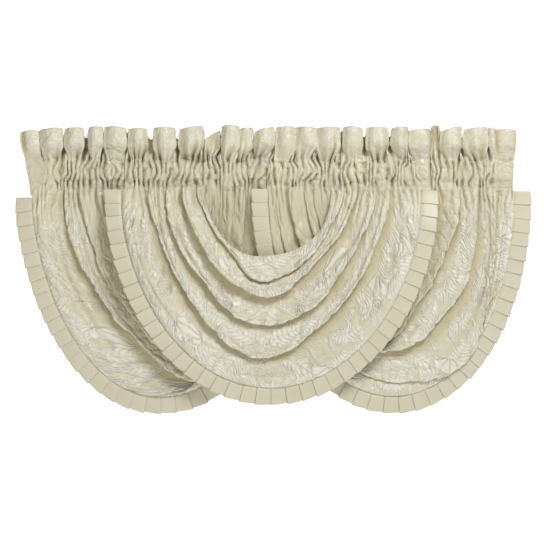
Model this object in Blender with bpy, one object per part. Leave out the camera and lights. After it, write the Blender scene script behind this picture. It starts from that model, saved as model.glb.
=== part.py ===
"""Three overlapping waterfall swags, each gathered on two rod pockets and edged with a pleated trim.

The X axis is the axis of the curtain rod that the pockets take, the viewer stands at -Y and +Z is up.
The tables are in millimetres; MM turns them into metres.
"""

import math
from collections import namedtuple

import bmesh
import bpy
import numpy as np
from mathutils import Vector

MM = 0.001

# Cloth and seams
CLOTH = 1.8 * MM
TRIM_CLOTH = 1.5 * MM
SEAM_GAP = 0.9 * MM        # between a hem's curve and its trim, whose chords come 0.6 mm closer
HEADING_GAP = 0.6 * MM     # between a heading's foot and the swag below it

# Swag body: how the folds rise out of the cloth
SWING_DROP = 90.0 * MM     # drop over which the cloth swings out from the heading to its own depth
GATHER = 1.6 * MM          # ripple of the gathers where the cloth leaves the heading
GATHER_DROP = 55.0 * MM    # drop over which that ripple fades
FOLD_DROP = 80.0 * MM      # drop over which the folds open to their full height
FOLD_AT_TOP = 0.30         # share of a fold's height that is left under the gathers
LIP = 0.16                 # how far a fold's lip hangs past the tuck below it, in band widths
SWELL = (0.0, 0.1, 2.25, 0.0)      # how a band rises from its hollow to its crest and falls in at its lip
HEM_LIP = -0.25            # the last band rounds over softly instead
HEM_SWELL = (0.0, 0.1, 1.5, 0.7)   # and stays raised at the hem
NARROW_SHARE = 0.4         # a fold's height follows its width, from this share of its height
WIDE_SHARE = 1.2           # up to this one
WAVER = 3.0                # millimetres by which a tuck strays from its even curve
EVEN_HOLLOW = 0.30         # flat start of a band under the lip above it, in band widths
BAND_STEPS = (0.0, 0.30, 0.55, 0.76, 0.91)
HALF_STEPS = 16            # steps along a fold from a heading down to its lowest point
HIDDEN_STEPS = 10          # the same on a half that another swag covers

# Headings
HEADER_THICKNESS = 3.2 * MM
STITCH_Z = 30.0 * MM       # the stitch lines lie this far above and below the rod's axis
POCKET_DEPTH = 28.0 * MM
POCKET_CHEEK = 18.0 * MM   # height over which the pocket is at its full depth, above and below the axis
HEADER_LEAN = 5.0 * MM     # the header stands this far in front of the rod's axis
RUFFLE_FRONT = 12.0 * MM   # how far a ruffle's puffs stand forward at the top edge
RUFFLE_BACK = 8.0 * MM     # how far the turns between the puffs lie back
RUFFLE_AT_STITCH = 0.25    # share of the ruffle's depth that is left at the stitch line
LEAN_AT_STITCH = 0.3       # share of an end's sideways lean that is reached at the stitch line
PUFF_CREST = 1.3           # a puff swells by this much above its base
PUFF_BASE = -0.5           # where it starts beside a turn
PUFF_FULLNESS = 0.6        # below 1 for a fuller, rounder puff
SHIRR = 1.8 * MM           # ripple of the gathers over the rod
PUFF_STATIONS = (0.0, 0.18, 0.5, 0.82, 1.0)
TURN_WIDTH = 3.0           # millimetres along the top edge that a turn between two puffs needs
TURN_DIP = 3.0             # millimetres by which the turns lie lower than the puffs
FLANGE_THICKNESS = 4.5 * MM

# Knife-pleated trim
PLEAT_PITCH = 35.0 * MM
PLEAT_STEP = 3.4 * MM
PLEAT_TURN = 3.0 * MM      # length of the short turn from one pleat's edge back under it
PLEAT_END = 0.3            # share of a pleat's step at which the strip ends
TRIM_WIDTH = 43.0 * MM
TRIM_SAW = 2.5 * MM        # how far the pleats' free corners stand out of the strip's outer edge
HEM_REACH = 4.0 * MM       # the hem's direction is taken over this length to both sides

# A row for each fold line of a swag, from the free edge to the hem. Every line drops from the left
# heading to its lowest point and climbs to the right one. "fall" is how long it hangs straight under the
# heading and "sag" how flat it lies at the bottom, both as shares of the drop and of the reach. "out" is
# how far the line itself stands forward, "rise" is the height of the band that ends at it and the hollows
# are the flat starts of that band, in band widths.
Fold = namedtuple("Fold", "left_top left_fall left_sag low_x low_z right_sag right_fall right_top "
                          "out rise hollow_left hollow_right")

CENTRE_FOLDS = (
    Fold(-177, 0.15, 0.70, -37, -217, 0.88, 0.35, 150, 4, 0, 0.3, 0.3),
    Fold(-193, 0.20, 0.32, -27, -273, 0.62, 0.20, 181, 0, 16, 0.2, 0.2),
    Fold(-228, 0.35, 0.32, -19, -323, 0.44, 0.18, 213, 0, 21, 0.3, 0.2),
    Fold(-269, 0.45, 0.36, -24, -391, 0.52, 0.20, 262, 0, 25, 0.9, 0.9),
    Fold(-314, 0.30, 0.44, -32, -463, 0.52, 0.32, 297, 0, 26, 0.9, 0.9),
    Fold(-386, 0.45, 0.62, -4, -551, 0.54, 0.54, 380, 4, 20, 0.6, 0.6),
)

LEFT_FOLDS = (
    Fold(-398, 0.30, 0.50, -290, -165, 0.50, 0.30, -172, 2, 0, 0.3, 0.3),
    Fold(-447, 0.20, 0.35, -236, -405, 0.45, 0.30, -137, 0, 11, 0.3, 0.3),
    Fold(-491, 0.23, 0.40, -221, -487, 0.50, 0.40, -106, 0, 15, 0.8, 0.4),
    Fold(-530, 0.55, 0.20, -190, -532, 0.50, 0.45, -74, 0, 16, 0.5, 0.3),
    Fold(-614, 0.32, 0.68, -287, -576, 0.85, 0.40, -8, 1, 16, 0.9, 0.3),
)

RIGHT_FOLDS = (
    Fold(146, 0.30, 0.50, 285, -165, 0.50, 0.30, 409, 1, 0, 0.3, 0.3),
    Fold(108, 0.20, 0.45, 283, -395, 0.40, 0.30, 423, 0, 12, 0.3, 0.3),
    Fold(83, 0.20, 0.45, 279, -431, 0.25, 0.47, 474, 0, 15, 0.3, 0.9),
    Fold(43, 0.25, 0.50, 284, -464, 0.40, 0.69, 523, 0, 15, 0.3, 0.6),
    Fold(11, 0.35, 0.60, 312, -535, 0.70, 0.84, 568, 5, 11, 0.3, 1.0),
    Fold(-11, 0.50, 0.62, 310, -575, 0.53, 0.62, 618, 3, 7, 0.3, 0.3),
)

# How far in front of the rod's axis each swag's body lies at the left, in the middle and at the right, and
# the steps of each half. A minus is behind the axis.
Swag = namedtuple("Swag", "name folds lie_left lie_low lie_right steps_left steps_right")

SWAGS = (
    Swag("left_swag", LEFT_FOLDS, 12, 9, -16, HALF_STEPS, HIDDEN_STEPS),
    Swag("right_swag", RIGHT_FOLDS, 5, 7, 12, HIDDEN_STEPS, HALF_STEPS),
    Swag("centre_swag", CENTRE_FOLDS, 36, 38, 36, HALF_STEPS, HALF_STEPS),
)

# How far below the tops of the folds each end of a trim starts.
TRIM_START = {"left_swag": (8, 8), "right_swag": (3, 2), "centre_swag": (4, 3)}

# Each heading: its ends along the rod at the foot and at the top edge, the height of its foot at both
# ends, how far in front of the rod's axis its seam holds the swag, and a (from, to, top) row for each puff
# of the ruffle.
Heading = namedtuple("Heading", "name foot_left foot_right top_left top_right "
                                "foot_left_z foot_right_z seam_depth puffs")

HEADINGS = (
    Heading("left_swag_heading_left", -618, -379, -646, -373.5, -60, -46, 7,
            ((-646, -598, 101), (-598, -539, 111), (-532, -483, 112), (-473, -432, 112), (-430, -376, 112))),
    Heading("centre_swag_heading_left", -378.5, -177, -373, -177, -48, -48, 10,
            ((-371, -317, 111), (-305, -249, 112), (-238, -180, 112))),
    Heading("left_swag_heading_right", -176.5, -16, -176.5, 5, -46, -44, 0,
            ((-174, -135, 104), (-129, -85, 112), (-83, -50, 111), (-45, 1, 113))),
    Heading("right_swag_heading_left", -14, 173.5, 7, 175.5, -43, -46, 10,
            ((9, 60, 112), (62, 111, 112), (113, 172, 113))),
    Heading("centre_swag_heading_right", 174, 405, 176, 406, -48, -48, 10,
            ((182, 228, 111), (244, 295, 113), (305, 348, 112), (348, 403, 112))),
    Heading("right_swag_heading_right", 405.5, 614, 406.5, 623, -48, -49, 7,
            ((422, 483, 113), (493, 555, 112), (555, 567, 110), (567, 623, 105))),
)

IVORY = (0.78, 0.75, 0.64, 1.0)
SATIN = (0.82, 0.79, 0.68, 1.0)


def ease(value):
    """Smooth step from 0 to 1."""
    share = np.clip(value, 0.0, 1.0)
    return share * share * (3.0 - 2.0 * share)


def bezier(p0, p1, p2, p3, t):
    """Cubic Bezier curve through arrays or numbers at the shares t."""
    return (1 - t) ** 3 * p0 + 3 * (1 - t) ** 2 * t * p1 + 3 * (1 - t) * t ** 2 * p2 + t ** 3 * p3


def swag_heading(swag, side):
    """The left or the right heading of a swag."""
    return next(row for row in HEADINGS if row.name == swag.name + "_heading_" + side)


def waver(line, number):
    """The line of a tuck, strayed a little to both sides in a long and a short wave between its ends."""
    along = np.linspace(0.0, 1.0, len(line))
    run = np.gradient(line, axis=0)
    across = np.column_stack((-run[:, 1], run[:, 0])) / np.linalg.norm(run, axis=1)[:, None]
    stray = np.sin(9.0 * along + 2.3 * number) + 0.6 * np.sin(23.0 * along + 4.1 * number)
    return line + across * (WAVER * stray * np.sin(np.pi * along))[:, None]


def half_line(heading, top_x, fall, sag, low_x, low_z, steps):
    """Even points (x, z) along one half of a fold line, from the heading to its lowest point."""
    top_z = np.interp(top_x, (heading.foot_left, heading.foot_right),
                      (heading.foot_left_z, heading.foot_right_z)) - HEADING_GAP / MM
    t = np.linspace(0.0, 1.0, 200)
    x = bezier(top_x, top_x, low_x + sag * (top_x - low_x), low_x, t)
    z = bezier(top_z, top_z + fall * (low_z - top_z), low_z, low_z, t)
    length = np.concatenate(([0.0], np.cumsum(np.hypot(np.diff(x), np.diff(z)))))
    even = np.linspace(0.0, length[-1], steps + 1)
    return np.column_stack((np.interp(even, length, x), np.interp(even, length, z)))


def fold_line(fold, swag, steps_left, steps_right):
    """Points (x, z) along a whole fold line, from the left heading to the right one."""
    left = half_line(swag_heading(swag, "left"), fold.left_top, fold.left_fall, fold.left_sag,
                     fold.low_x, fold.low_z, steps_left)
    right = half_line(swag_heading(swag, "right"), fold.right_top, fold.right_fall, fold.right_sag,
                      fold.low_x, fold.low_z, steps_right)
    return np.vstack((left, right[-2::-1]))


def side_shares(swag):
    """-1 at the left heading, 0 at the lowest points and 1 at the right heading, for each station."""
    left = np.linspace(-1.0, 0.0, swag.steps_left + 1)
    right = np.linspace(0.0, 1.0, swag.steps_right + 1)
    return np.concatenate((left, right[1:]))


def lie_depth(swag, side, drop):
    """How far in front of the rod's axis the tucks lie."""
    seams = [swag_heading(swag, end).seam_depth for end in ("left", "right")]
    head = np.where(side < 0, seams[0], seams[1]) * MM
    body = np.interp(side, (-1.0, 0.0, 1.0), (swag.lie_left, swag.lie_low, swag.lie_right)) * MM
    return head + (body - head) * ease(drop / SWING_DROP)


def swag_rows(swag):
    """Rows of front points (x, y, z), each from left to right, from the free edge down to the hem."""
    side = side_shares(swag)
    lines = [fold_line(fold, swag, swag.steps_left, swag.steps_right) for fold in swag.folds]
    lines[1:-1] = [waver(line, number) for number, line in enumerate(lines[1:-1])]
    lines = [line * MM for line in lines]
    rows = []
    for index in range(1, len(lines)):
        above, below = lines[index - 1], lines[index]
        fold, previous = swag.folds[index], swag.folds[index - 1]
        last = index == len(lines) - 1
        lip = HEM_LIP if last else LIP
        width = np.linalg.norm(below - above, axis=1)
        share = np.clip(width / width[swag.steps_left], NARROW_SHARE, WIDE_SHARE)
        height = fold.rise * MM * share
        sway = np.sin(np.pi * np.abs(side)) ** 2
        hollow = EVEN_HOLLOW + sway * (np.where(side < 0, fold.hollow_left, fold.hollow_right) - EVEN_HOLLOW)
        for t in BAND_STEPS + ((1.0,) if last else ()):
            across = bezier(0.0, hollow, 1.0 + lip, 1.0, t)
            swell = bezier(*(HEM_SWELL if last else SWELL), t)
            plan = above + (below - above) * across[:, None]
            drop = np.where(side < 0, plan[0, 1], plan[-1, 1]) - plan[:, 1]
            out = (previous.out + (fold.out - previous.out) * t) * MM
            opening = FOLD_AT_TOP + (1.0 - FOLD_AT_TOP) * ease(drop / FOLD_DROP)
            gather = GATHER * (-1) ** len(rows) * (1.0 - ease(drop / GATHER_DROP))
            depth = lie_depth(swag, side, drop) + out + height * swell * opening + gather
            rows.append(np.column_stack((plan[:, 0], -depth, plan[:, 1])))
    return rows


def cloth_material(name, colour, roughness, sheen):
    """A plain cloth finish."""
    material = bpy.data.materials.new(name)
    material.use_nodes = True
    shader = material.node_tree.nodes["Principled BSDF"]
    shader.inputs["Base Color"].default_value = colour
    shader.inputs["Roughness"].default_value = roughness
    shader.inputs["Metallic"].default_value = 0.0
    shader.inputs["Sheen Weight"].default_value = sheen
    return material


def add_object(name, bm, material):
    """Turn a bmesh into a named object with its material."""
    mesh = bpy.data.meshes.new(name)
    bm.to_mesh(mesh)
    bm.free()
    mesh.materials.append(material)
    obj = bpy.data.objects.new(name, mesh)
    bpy.context.scene.collection.objects.link(obj)
    return obj


def add_sheet(name, rows, thickness, material):
    """A closed sheet of cloth: its front runs through the rows of points and its back lies behind them.

    The sheet's rim runs straight back, so that a neighbour can be sewn close to it.
    """
    bm = bmesh.new()
    front = [[bm.verts.new(point) for point in row] for row in rows]
    quads = [(upper[i], lower[i], lower[i + 1], upper[i + 1])
             for upper, lower in zip(front, front[1:]) for i in range(len(upper) - 1)]
    for quad in quads:
        bm.faces.new(quad)
    bm.normal_update()
    straight_back = Vector((0.0, 1.0, 0.0))
    behind = {}
    for vert in [vert for row in front for vert in row]:
        away = straight_back if vert.is_boundary else -vert.normal
        behind[vert] = bm.verts.new(vert.co + away * thickness)
    rim = [loop for face in bm.faces for loop in face.loops if loop.edge.is_boundary]
    for start, end in [(loop.vert, loop.link_loop_next.vert) for loop in rim]:
        bm.faces.new((end, start, behind[start], behind[end]))
    for quad in quads:
        bm.faces.new([behind[vert] for vert in reversed(quad)])
    return add_object(name, bm, material)


def build_swag(swag, material):
    """The body of one swag: a single cut of cloth in its hanging folds."""
    return add_sheet(swag.name, swag_rows(swag), CLOTH, material)


def hem_curve(swag):
    """Close points (x, y, z) along the swag's hem, and how far each lies along it."""
    dense = swag._replace(steps_left=120, steps_right=120)
    hem = swag_rows(dense)[-1]
    along = np.concatenate(([0.0], np.cumsum(np.linalg.norm(np.diff(hem, axis=0), axis=1))))
    return hem, along


def build_trim(swag, material):
    """The knife-pleated strip sewn along the swag's hem."""
    hem, along = hem_curve(swag)
    start, end = (value * MM for value in TRIM_START[swag.name])
    first, last = start, along[-1] - end
    pleats = round((last - first) / PLEAT_PITCH)
    pitch = (last - first) / pleats
    stations = []
    for pleat in range(pleats):
        begin = first + pleat * pitch
        stations.append((begin, 0.0, 0.0))
        stations.append((begin + pitch - PLEAT_TURN, 1.0, 1.0))
    stations.append((last, PLEAT_END, PLEAT_END))
    inner, outer = [], []
    for where, raised, saw in stations:
        point = np.array([np.interp(where, along, hem[:, axis]) for axis in range(3)])
        ahead = np.array([np.interp(where + HEM_REACH, along, hem[:, axis]) for axis in range(3)])
        behind = np.array([np.interp(where - HEM_REACH, along, hem[:, axis]) for axis in range(3)])
        run = (ahead - behind)[[0, 2]]
        outward = np.array([run[1], -run[0]]) / np.linalg.norm(run)
        depth = point[1] - PLEAT_STEP * raised
        near = point[[0, 2]] + outward * SEAM_GAP
        far = point[[0, 2]] + outward * (TRIM_WIDTH + TRIM_SAW * (saw - 0.5))
        inner.append((near[0], depth, near[1]))
        outer.append((far[0], depth, far[1]))
    return add_sheet(swag.name + "_trim", [inner, outer], TRIM_CLOTH, material)


def ruffle_stations(heading):
    """(x share, swell, top z) along the top edge: swell is 1 on a puff's crown and -1 in a back turn."""
    stations = [(heading.top_left, -1.0, heading.puffs[0][2] - TURN_DIP)]
    for left, right, top in heading.puffs:
        reached = stations[-1][0]
        if left - reached > TURN_WIDTH and len(stations) > 1:
            stations.append(((left + reached) / 2, -1.0, top - TURN_DIP))
        for share in PUFF_STATIONS:
            x = left + (right - left) * share
            if x - stations[-1][0] > TURN_WIDTH / 2:
                swell = PUFF_CREST * math.sin(math.pi * share) ** PUFF_FULLNESS + PUFF_BASE
                stations.append((x, swell, top))
    if heading.top_right - stations[-1][0] > TURN_WIDTH / 2:
        stations.append((heading.top_right, -1.0, heading.puffs[-1][2] - TURN_DIP))
    return stations


def heading_section(heading, x, swell, top, ripple):
    """Named points (x, y, z) of the heading's section where its top edge is at x."""
    share = (x - heading.top_left) / (heading.top_right - heading.top_left)
    foot_x = heading.foot_left + share * (heading.foot_right - heading.foot_left)
    foot_z = heading.foot_left_z + share * (heading.foot_right_z - heading.foot_left_z)
    ruffle = -swell * (RUFFLE_FRONT if swell > 0 else RUFFLE_BACK)
    half = HEADER_THICKNESS / 2
    crown = ruffle - HEADER_LEAN
    stitch = ruffle * RUFFLE_AT_STITCH - HEADER_LEAN
    wall = POCKET_DEPTH / 2 + ripple * SHIRR
    lining = POCKET_DEPTH / 2 - CLOTH - SHIRR
    seam = heading.seam_depth * MM + ripple * GATHER
    foot, top_x = foot_x * MM, x * MM
    stitch_x = foot + (top_x - foot) * LEAN_AT_STITCH
    return {
        "crown_front": (top_x, crown - half, top * MM),
        "crown_back": (top_x, crown + half, top * MM),
        "stitch_front": (stitch_x, stitch - half - SHIRR, STITCH_Z),
        "stitch_back": (stitch_x, stitch + half + SHIRR, STITCH_Z),
        "roof": (foot, 0.0, STITCH_Z - CLOTH * 2),
        "cheek_front": (foot, -wall, POCKET_CHEEK),
        "jaw_front": (foot, -wall, -POCKET_CHEEK),
        "cheek_back": (foot, wall, POCKET_CHEEK),
        "jaw_back": (foot, wall, -POCKET_CHEEK),
        "lining_cheek_front": (foot, -lining, POCKET_CHEEK),
        "lining_jaw_front": (foot, -lining, -POCKET_CHEEK),
        "lining_cheek_back": (foot, lining, POCKET_CHEEK),
        "lining_jaw_back": (foot, lining, -POCKET_CHEEK),
        "floor": (foot, 0.0, CLOTH * 2 - STITCH_Z),
        "seam_front": (foot, -(wall + seam) / 2, -STITCH_Z),
        "seam_back": (foot, half + SHIRR, -STITCH_Z),
        "foot_front": (foot, -seam, foot_z * MM),
        "foot_back": (foot, FLANGE_THICKNESS - seam, foot_z * MM),
    }


# Faces of the heading's section, by the names of their corners. Its outline and its tunnel are what the
# sweep along the rod closes.
SECTION_FACES = (
    ("crown_front", "stitch_front", "stitch_back", "crown_back"),
    ("stitch_front", "cheek_front", "lining_cheek_front", "roof"),
    ("stitch_front", "roof", "stitch_back"),
    ("stitch_back", "roof", "lining_cheek_back", "cheek_back"),
    ("cheek_front", "jaw_front", "lining_jaw_front", "lining_cheek_front"),
    ("cheek_back", "lining_cheek_back", "lining_jaw_back", "jaw_back"),
    ("jaw_front", "seam_front", "floor", "lining_jaw_front"),
    ("seam_front", "seam_back", "floor"),
    ("jaw_back", "lining_jaw_back", "floor", "seam_back"),
    ("seam_front", "foot_front", "foot_back", "seam_back"),
)


def section_border():
    """Directed edges of the section that belong to one face only."""
    edges = [(a, b) for face in SECTION_FACES for a, b in zip(face, face[1:] + face[:1])]
    return [(a, b) for a, b in edges if (b, a) not in edges]


def build_heading(heading, material):
    """One gathered heading: a stand-up ruffle, a pocket around the rod and the seam that holds the swag."""
    bm = bmesh.new()
    sections = []
    for number, (x, swell, top) in enumerate(ruffle_stations(heading)):
        ripple = 1.0 if number % 2 else -1.0
        points = heading_section(heading, x, swell, top, ripple)
        sections.append({name: bm.verts.new(point) for name, point in points.items()})
    for here, following in zip(sections, sections[1:]):
        for a, b in section_border():
            bm.faces.new((here[a], here[b], following[b], following[a]))
    for face in SECTION_FACES:
        bm.faces.new([sections[0][name] for name in reversed(face)])
        bm.faces.new([sections[-1][name] for name in face])
    bmesh.ops.recalc_face_normals(bm, faces=bm.faces)
    return add_object(heading.name, bm, material)


def main():
    """Clear the scene and build every piece of the valance."""
    for obj in list(bpy.data.objects):
        bpy.data.objects.remove(obj)
    damask = cloth_material("ivory_damask", IVORY, 0.62, 0.35)
    satin = cloth_material("ivory_satin", SATIN, 0.45, 0.2)
    for heading in HEADINGS:
        build_heading(heading, damask)
    for swag in SWAGS:
        build_swag(swag, damask)
        build_trim(swag, satin)


main()
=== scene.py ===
"""A valance of three overlapping waterfall swags in ivory damask, each edged with knife-pleated satin.

The X axis is the curtain rod's axis, the viewer stands at -Y and +Z is up. Tables are in millimetres and
MM turns them into metres.
"""

import math
from collections import namedtuple

import bpy
import numpy as np
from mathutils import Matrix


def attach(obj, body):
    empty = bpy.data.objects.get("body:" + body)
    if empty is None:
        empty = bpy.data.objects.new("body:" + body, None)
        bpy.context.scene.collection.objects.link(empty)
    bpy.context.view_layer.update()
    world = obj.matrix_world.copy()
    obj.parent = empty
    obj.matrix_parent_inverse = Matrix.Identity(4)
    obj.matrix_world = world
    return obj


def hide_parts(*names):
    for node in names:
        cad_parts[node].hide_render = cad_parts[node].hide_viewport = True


bl_info = {
    "name": "Waterfall Swag Valance",
    "version": (1, 0, 0),
    "blender": (4, 5, 0),
    "location": "3D View > Sidebar > Valance",
    "description": "Hangs three damask swags with their ruffled rod pockets and pleated trims on the frame",
    "category": "Object",
}

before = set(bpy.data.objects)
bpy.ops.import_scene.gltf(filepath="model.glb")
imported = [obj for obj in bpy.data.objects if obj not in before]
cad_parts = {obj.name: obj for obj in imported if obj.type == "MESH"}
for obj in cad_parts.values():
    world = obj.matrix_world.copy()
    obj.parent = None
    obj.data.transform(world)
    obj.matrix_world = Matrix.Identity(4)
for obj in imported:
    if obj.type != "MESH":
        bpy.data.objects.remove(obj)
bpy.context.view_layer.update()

MM = 0.001

# Swag body: how the folds rise out of the cloth
SWING_DROP = 90.0 * MM             # drop over which the cloth swings out from the heading to its own depth
GATHER_DROP = 115.0 * MM           # drop over which the gathers below a heading fade
GATHER_SHARE = 0.5                 # their depth, as a share of that of the gathers over the rod
GATHER_REST = 0.6                  # share of it at which the smooth cloth would lie
GATHER_START = 18.0                # they go on from this far below the lower stitches, in millimetres
GATHER_STRETCH = 0.35              # and change more slowly than those, by this factor
RELIEF_DROP = 120.0 * MM           # drop over which the pattern comes out of the gathers to its full relief
FOLD_DROP = 60.0 * MM              # drop over which the folds open to their full height
FOLD_AT_TOP = 0.75                 # share of a fold's height that is left under the gathers
LIP = 0.30                         # how far a fold's lip hangs past the tuck below it, in band widths
SWELL = (0.0, 0.1, 2.25, 0.0)      # how a band rises from its hollow to its crest and falls in at its lip
HEM_LIP = -0.25                    # the last band rounds over softly instead
HEM_SWELL = (0.0, 0.1, 1.5, 0.7)   # and stays raised at the hem
NARROW_SHARE = 0.4                 # a fold's height follows its width, from this share of its height
WIDE_SHARE = 1.2                   # up to this one
FOLD_CHANGE = 0.38                 # share by which a fold's height and its hollow change along it
EVEN_HOLLOW = 0.30                 # flat start of a band under the lip above it, in band widths
SIDE_HOLLOW = 0.55                 # halfway to the headings it takes at least this share of the band
WIDEST_HOLLOW = 58.0 * MM          # and no hollow is wider
OUT_OF_HOLLOW = (0.22, 0.58)       # the cloth comes clear of a hollow from this share of it, over this one
CURVE_STEPS = 400                  # points at which a fold line is measured before it is divided evenly
FACING = 24.0 * MM                 # cloth turned back behind the free edge
FACING_ROUND = 3.0 * MM            # radius of that turn
FACING_ROWS = 9
SEAM = 0.35 * MM                   # gap that sewn pieces keep

# How a tuck strays from its even curve: the size of one wave in millimetres, then rows of swings and of
# crinkles with the turns along the tuck, the shift from one tuck to the next and the share of the size
WAVER = 5.1
SWINGS = ((9.0, 2.3, 1.0), (23.0, 4.1, 0.6))
CRINKLES = ((31.0, 3.7, 0.55, 11), (79.0, 2.9, 0.14, 12))   # each with a seed

# Headings
HEADER_THICKNESS = 2.6 * MM        # front and back layers of the ruffle together
HEADING_CLOTH = 0.8 * MM
HEADING_COLUMNS = 240
FOOT_ROWS, POCKET_ROWS, RUFFLE_ROWS = 11, 25, 21             # rows of the front layer
RUFFLE_BACK_ROWS, POCKET_BACK_ROWS = 11, 13                  # and of the back one
STITCH_Z = 30.0                    # the stitch lines lie this far above and below the rod's axis
STITCH_STRAY = 4.0                 # size in millimetres of the stitch lines' stray up and down
STITCH_SLACK = 0.6                 # most of the pocket's bulge that slack lower stitches leave
POCKET_DEPTH = 27.0 * MM
POCKET_SKEW = 3.0                  # millimetres by which the pocket's back lies to the right of its front
BACK_END = 6.0 * MM                # cloth of the back layer below the lower stitch line
HEADER_LEAN = 5.0 * MM             # the header stands this far in front of the rod's axis
POCKET_ROUND = 0.6                 # power that rounds the pocket's section
STITCHED = 0.4                     # share of the ruffle's thickness that is left at the stitches
FOOT_TUCK = 0.6                    # share of the depth of a tuck at an end that its foot still has
POCKET_SHIFT = 0.3                 # share of its lean to the top edge that a column has over the rod
CALM_START = 0.35                  # share of an ungathered end after which the gathers begin
RUFFLE_FRONT = 19.0                # how far a ruffle's puffs stand forward at the top edge, in millimetres
RUFFLE_BACK = 11.0                 # how far the turns between the puffs lie back
PUFF_ARCH = 2.5                    # how much higher a puff's top edge is in its middle, in millimetres
PUFF_SWELL = 0.14                  # share by which a puff is wider halfway up than at its top edge
PUFF_TUCK = (0.16, 6.0)            # a puff's edge turns under by this share of its width, up to so much
# A puff's front: rows of a share along it and the share of its reach there
PUFF_PROFILE = ((0.12, 0.54), (0.3, 0.88), (0.5, 1.0), (0.7, 0.88), (0.88, 0.54), (1.0, 0.25))
PARTED = 1.5                       # puffs further apart than this turn back between them
WIDE_GAP = 3.0                     # and from this gap on the turn shows as a low back fold
TURN_DIP = 10.0                    # how much lower the turns lie than the puffs, beyond the gap's own width
DEEPEST_TURN = 26.0
SHIRR = 20.0 * MM                  # depth of the gathers over the rod
SHIRR_PITCH = 14.5                 # millimetres from one gather to the next
SHIRR_REST = 0.7                   # share of that depth at which the smooth cloth would lie
FLAT_SHIRR = 0.08                  # share of them that stays in the ungathered ends
PINCH_REACH = 10.0                 # how far from a stitch line it pinches them, in millimetres
PINCH_BELOW = 0.35                 # how hard the lower stitches pinch, against the upper ones
FINE_GATHERS, FINE_SHARE = 1.7, 0.6   # small gathers at the stitches for each large one, and their depth
CUT, CUT_CHANGE, LEAST_CUT = 0.80, 0.9, 0.2   # depth of a crease between gathers, its change and its least
CUT_LENGTH = 15.0                  # millimetres along a crease over which that changes
SLACK = 0.75                       # share of their depth that the gathers have everywhere
SLACK_BELOW, SLACK_ABOVE = 0.15, 0.35   # what slack cloth adds at the lower and at the upper stitches
SLACK_INSIDE, SLACK_OUTSIDE = 12.0, 9.0   # how far it reaches between the stitches and beyond them
SLANT_PITCH = 23.0                 # millimetres from one slanting pucker to the next
SLANT_SHARE, SLANT_REACH = 0.5, 24.0   # what they take off a gather's crest, and how far from the rod
BACK_SHIRR = 0.6                   # depth of the gathers on the pocket's back, against its front
BACK_SHIFT = 500.0                 # those are the front's gathers from this many millimetres along the rod

# How the gathers over the rod stray sideways: rows of the size in gathers, the lengths in millimetres
# across and up over which it changes, and the random row
GATHER_STRAYS = ((0.8, 24.0, 34.0, 0), (0.6, 60.0, 90.0, 1))

END_TUCK = 8.0                     # width at a heading's right end that is tucked behind the next heading
END_TUCK_REACH = 1.6               # how far that end reaches behind it
END_TUCK_DEPTH = 5.0 * MM
FOOT_LAP = 3.5                     # how far a heading's foot laps over the top of its swag

# Creases of the cloth itself: length and width in millimetres, share of the crumple, and step of the seed
CRUMPLES = ((62.0, 16.0, 1.0, 0), (24.0, 13.0, 0.6, 1), (19.0, 44.0, 0.5, 3))
PUCKER_SIZE = (9.0, 7.0)
HEADING_CRUMPLE = 0.45             # share of them that the headings show
HOLLOW_CALM = 0.35                 # share of them that is left in a swag's hollows
LIP_CALM = 0.10                    # and half is lost this close to a lip, in band widths
HELD_ROWS, HELD_COLUMNS = 3, 6     # they fade over these rows and columns next to a seam

# Marks for the material, which paint shade into the cloth's hollows and a darker shade into its narrow
# creases.
# A hollow or a crease is found by how far a point lies back from those beside it: the number of them to
# each side, the depth that counts in full, and the gain and loss that sharpen it.
HOLLOW_FIND = (12, 7.0 * MM, 1.0, 0.0)
RUFFLE_HOLLOW_FIND = (12, 7.0 * MM, 1.9, 0.45)
GATHER_FIND = (9, 14.0 * MM, 2.6, 1.65)
POCKET_FIND = (9, 16.0 * MM, 2.6, 1.75)
RUFFLE_FIND = (14, 16.0 * MM, 3.2, 1.95)
HOLLOW_CURVE = 1.4                 # power that keeps the painted shade of shallow hollows light
DEEP_TROUGH = 8.0 * MM             # a laid trough counts as a hollow in full from this depth on
EDGE_ROWS, EDGE_CLEAR = 6, 0.8     # rows at the free edge, and how clear of the hollows they count as, for their crumples and their painted shade
GATHER_CREASE = 0.8                # strength of the shade painted into the creases between the gathers below a heading
LIP_SHADE = 0.6                    # strength of the shade right under a lip
LIP_REACH = 0.13                   # and its width, in band widths
LIP_PATCHES, LIP_PATCH_ROWS = 6.0, 40.0   # it comes and goes so often along half a lip, and over these rows
CAST_SHADOW_REACH = 90.0 * MM          # how far beside the centre swag's trim the shadow that it casts on the other swags ends
CAST_SHADOW_SHADE = 0.42               # how much of the hollows' painted shade is painted into that cast shadow
CAST_SHADOW_CALM = 0.8                 # and how much of the relief is lost there
RELIEF_AT_TOP = 0.45               # share of the relief that is left in the gathers
RUFFLE_RELIEF, POCKET_RELIEF = 0.45, 0.38                    # and of it on a heading

# The damask's pattern
REPEAT = 228.0 * MM                # width of the repeat, which mirrors at its middle
STEP_DOWN = 121.0 * MM             # each column of it starts lower by this
MOTIF = 76.0 * MM                  # spacing of the large leaves, volutes and fans
FILLER = 36.0 * MM                 # spacing of the small leaves between them
SCROLLS_BELOW = 0.13               # share of the motifs that are volutes
FANS_ABOVE = 0.80                  # the motifs above this share are fans, and the rest are leaves
LEAF = (1.2 * MOTIF, 0.36 * MOTIF, 8.0)           # a large leaf's length, half width and lobes
SMALL_LEAF = (1.3 * FILLER, 0.3 * FILLER, 4.5)    # and a small one's
VOLUTE_REACH, FAN_REACH = 0.28 * MOTIF, 0.42 * MOTIF
LEAF_BEND = 24.0                   # leaves bend to one side or the other by up to half of this, per metre
GROOVE, GROOVE_DEPTH = 2.5 * MM, 0.6   # half width of the groove along a leaf, and its depth
SOFT_EDGE = 4.0 * MM               # width over which a volute's or a fan's edge rises
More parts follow.
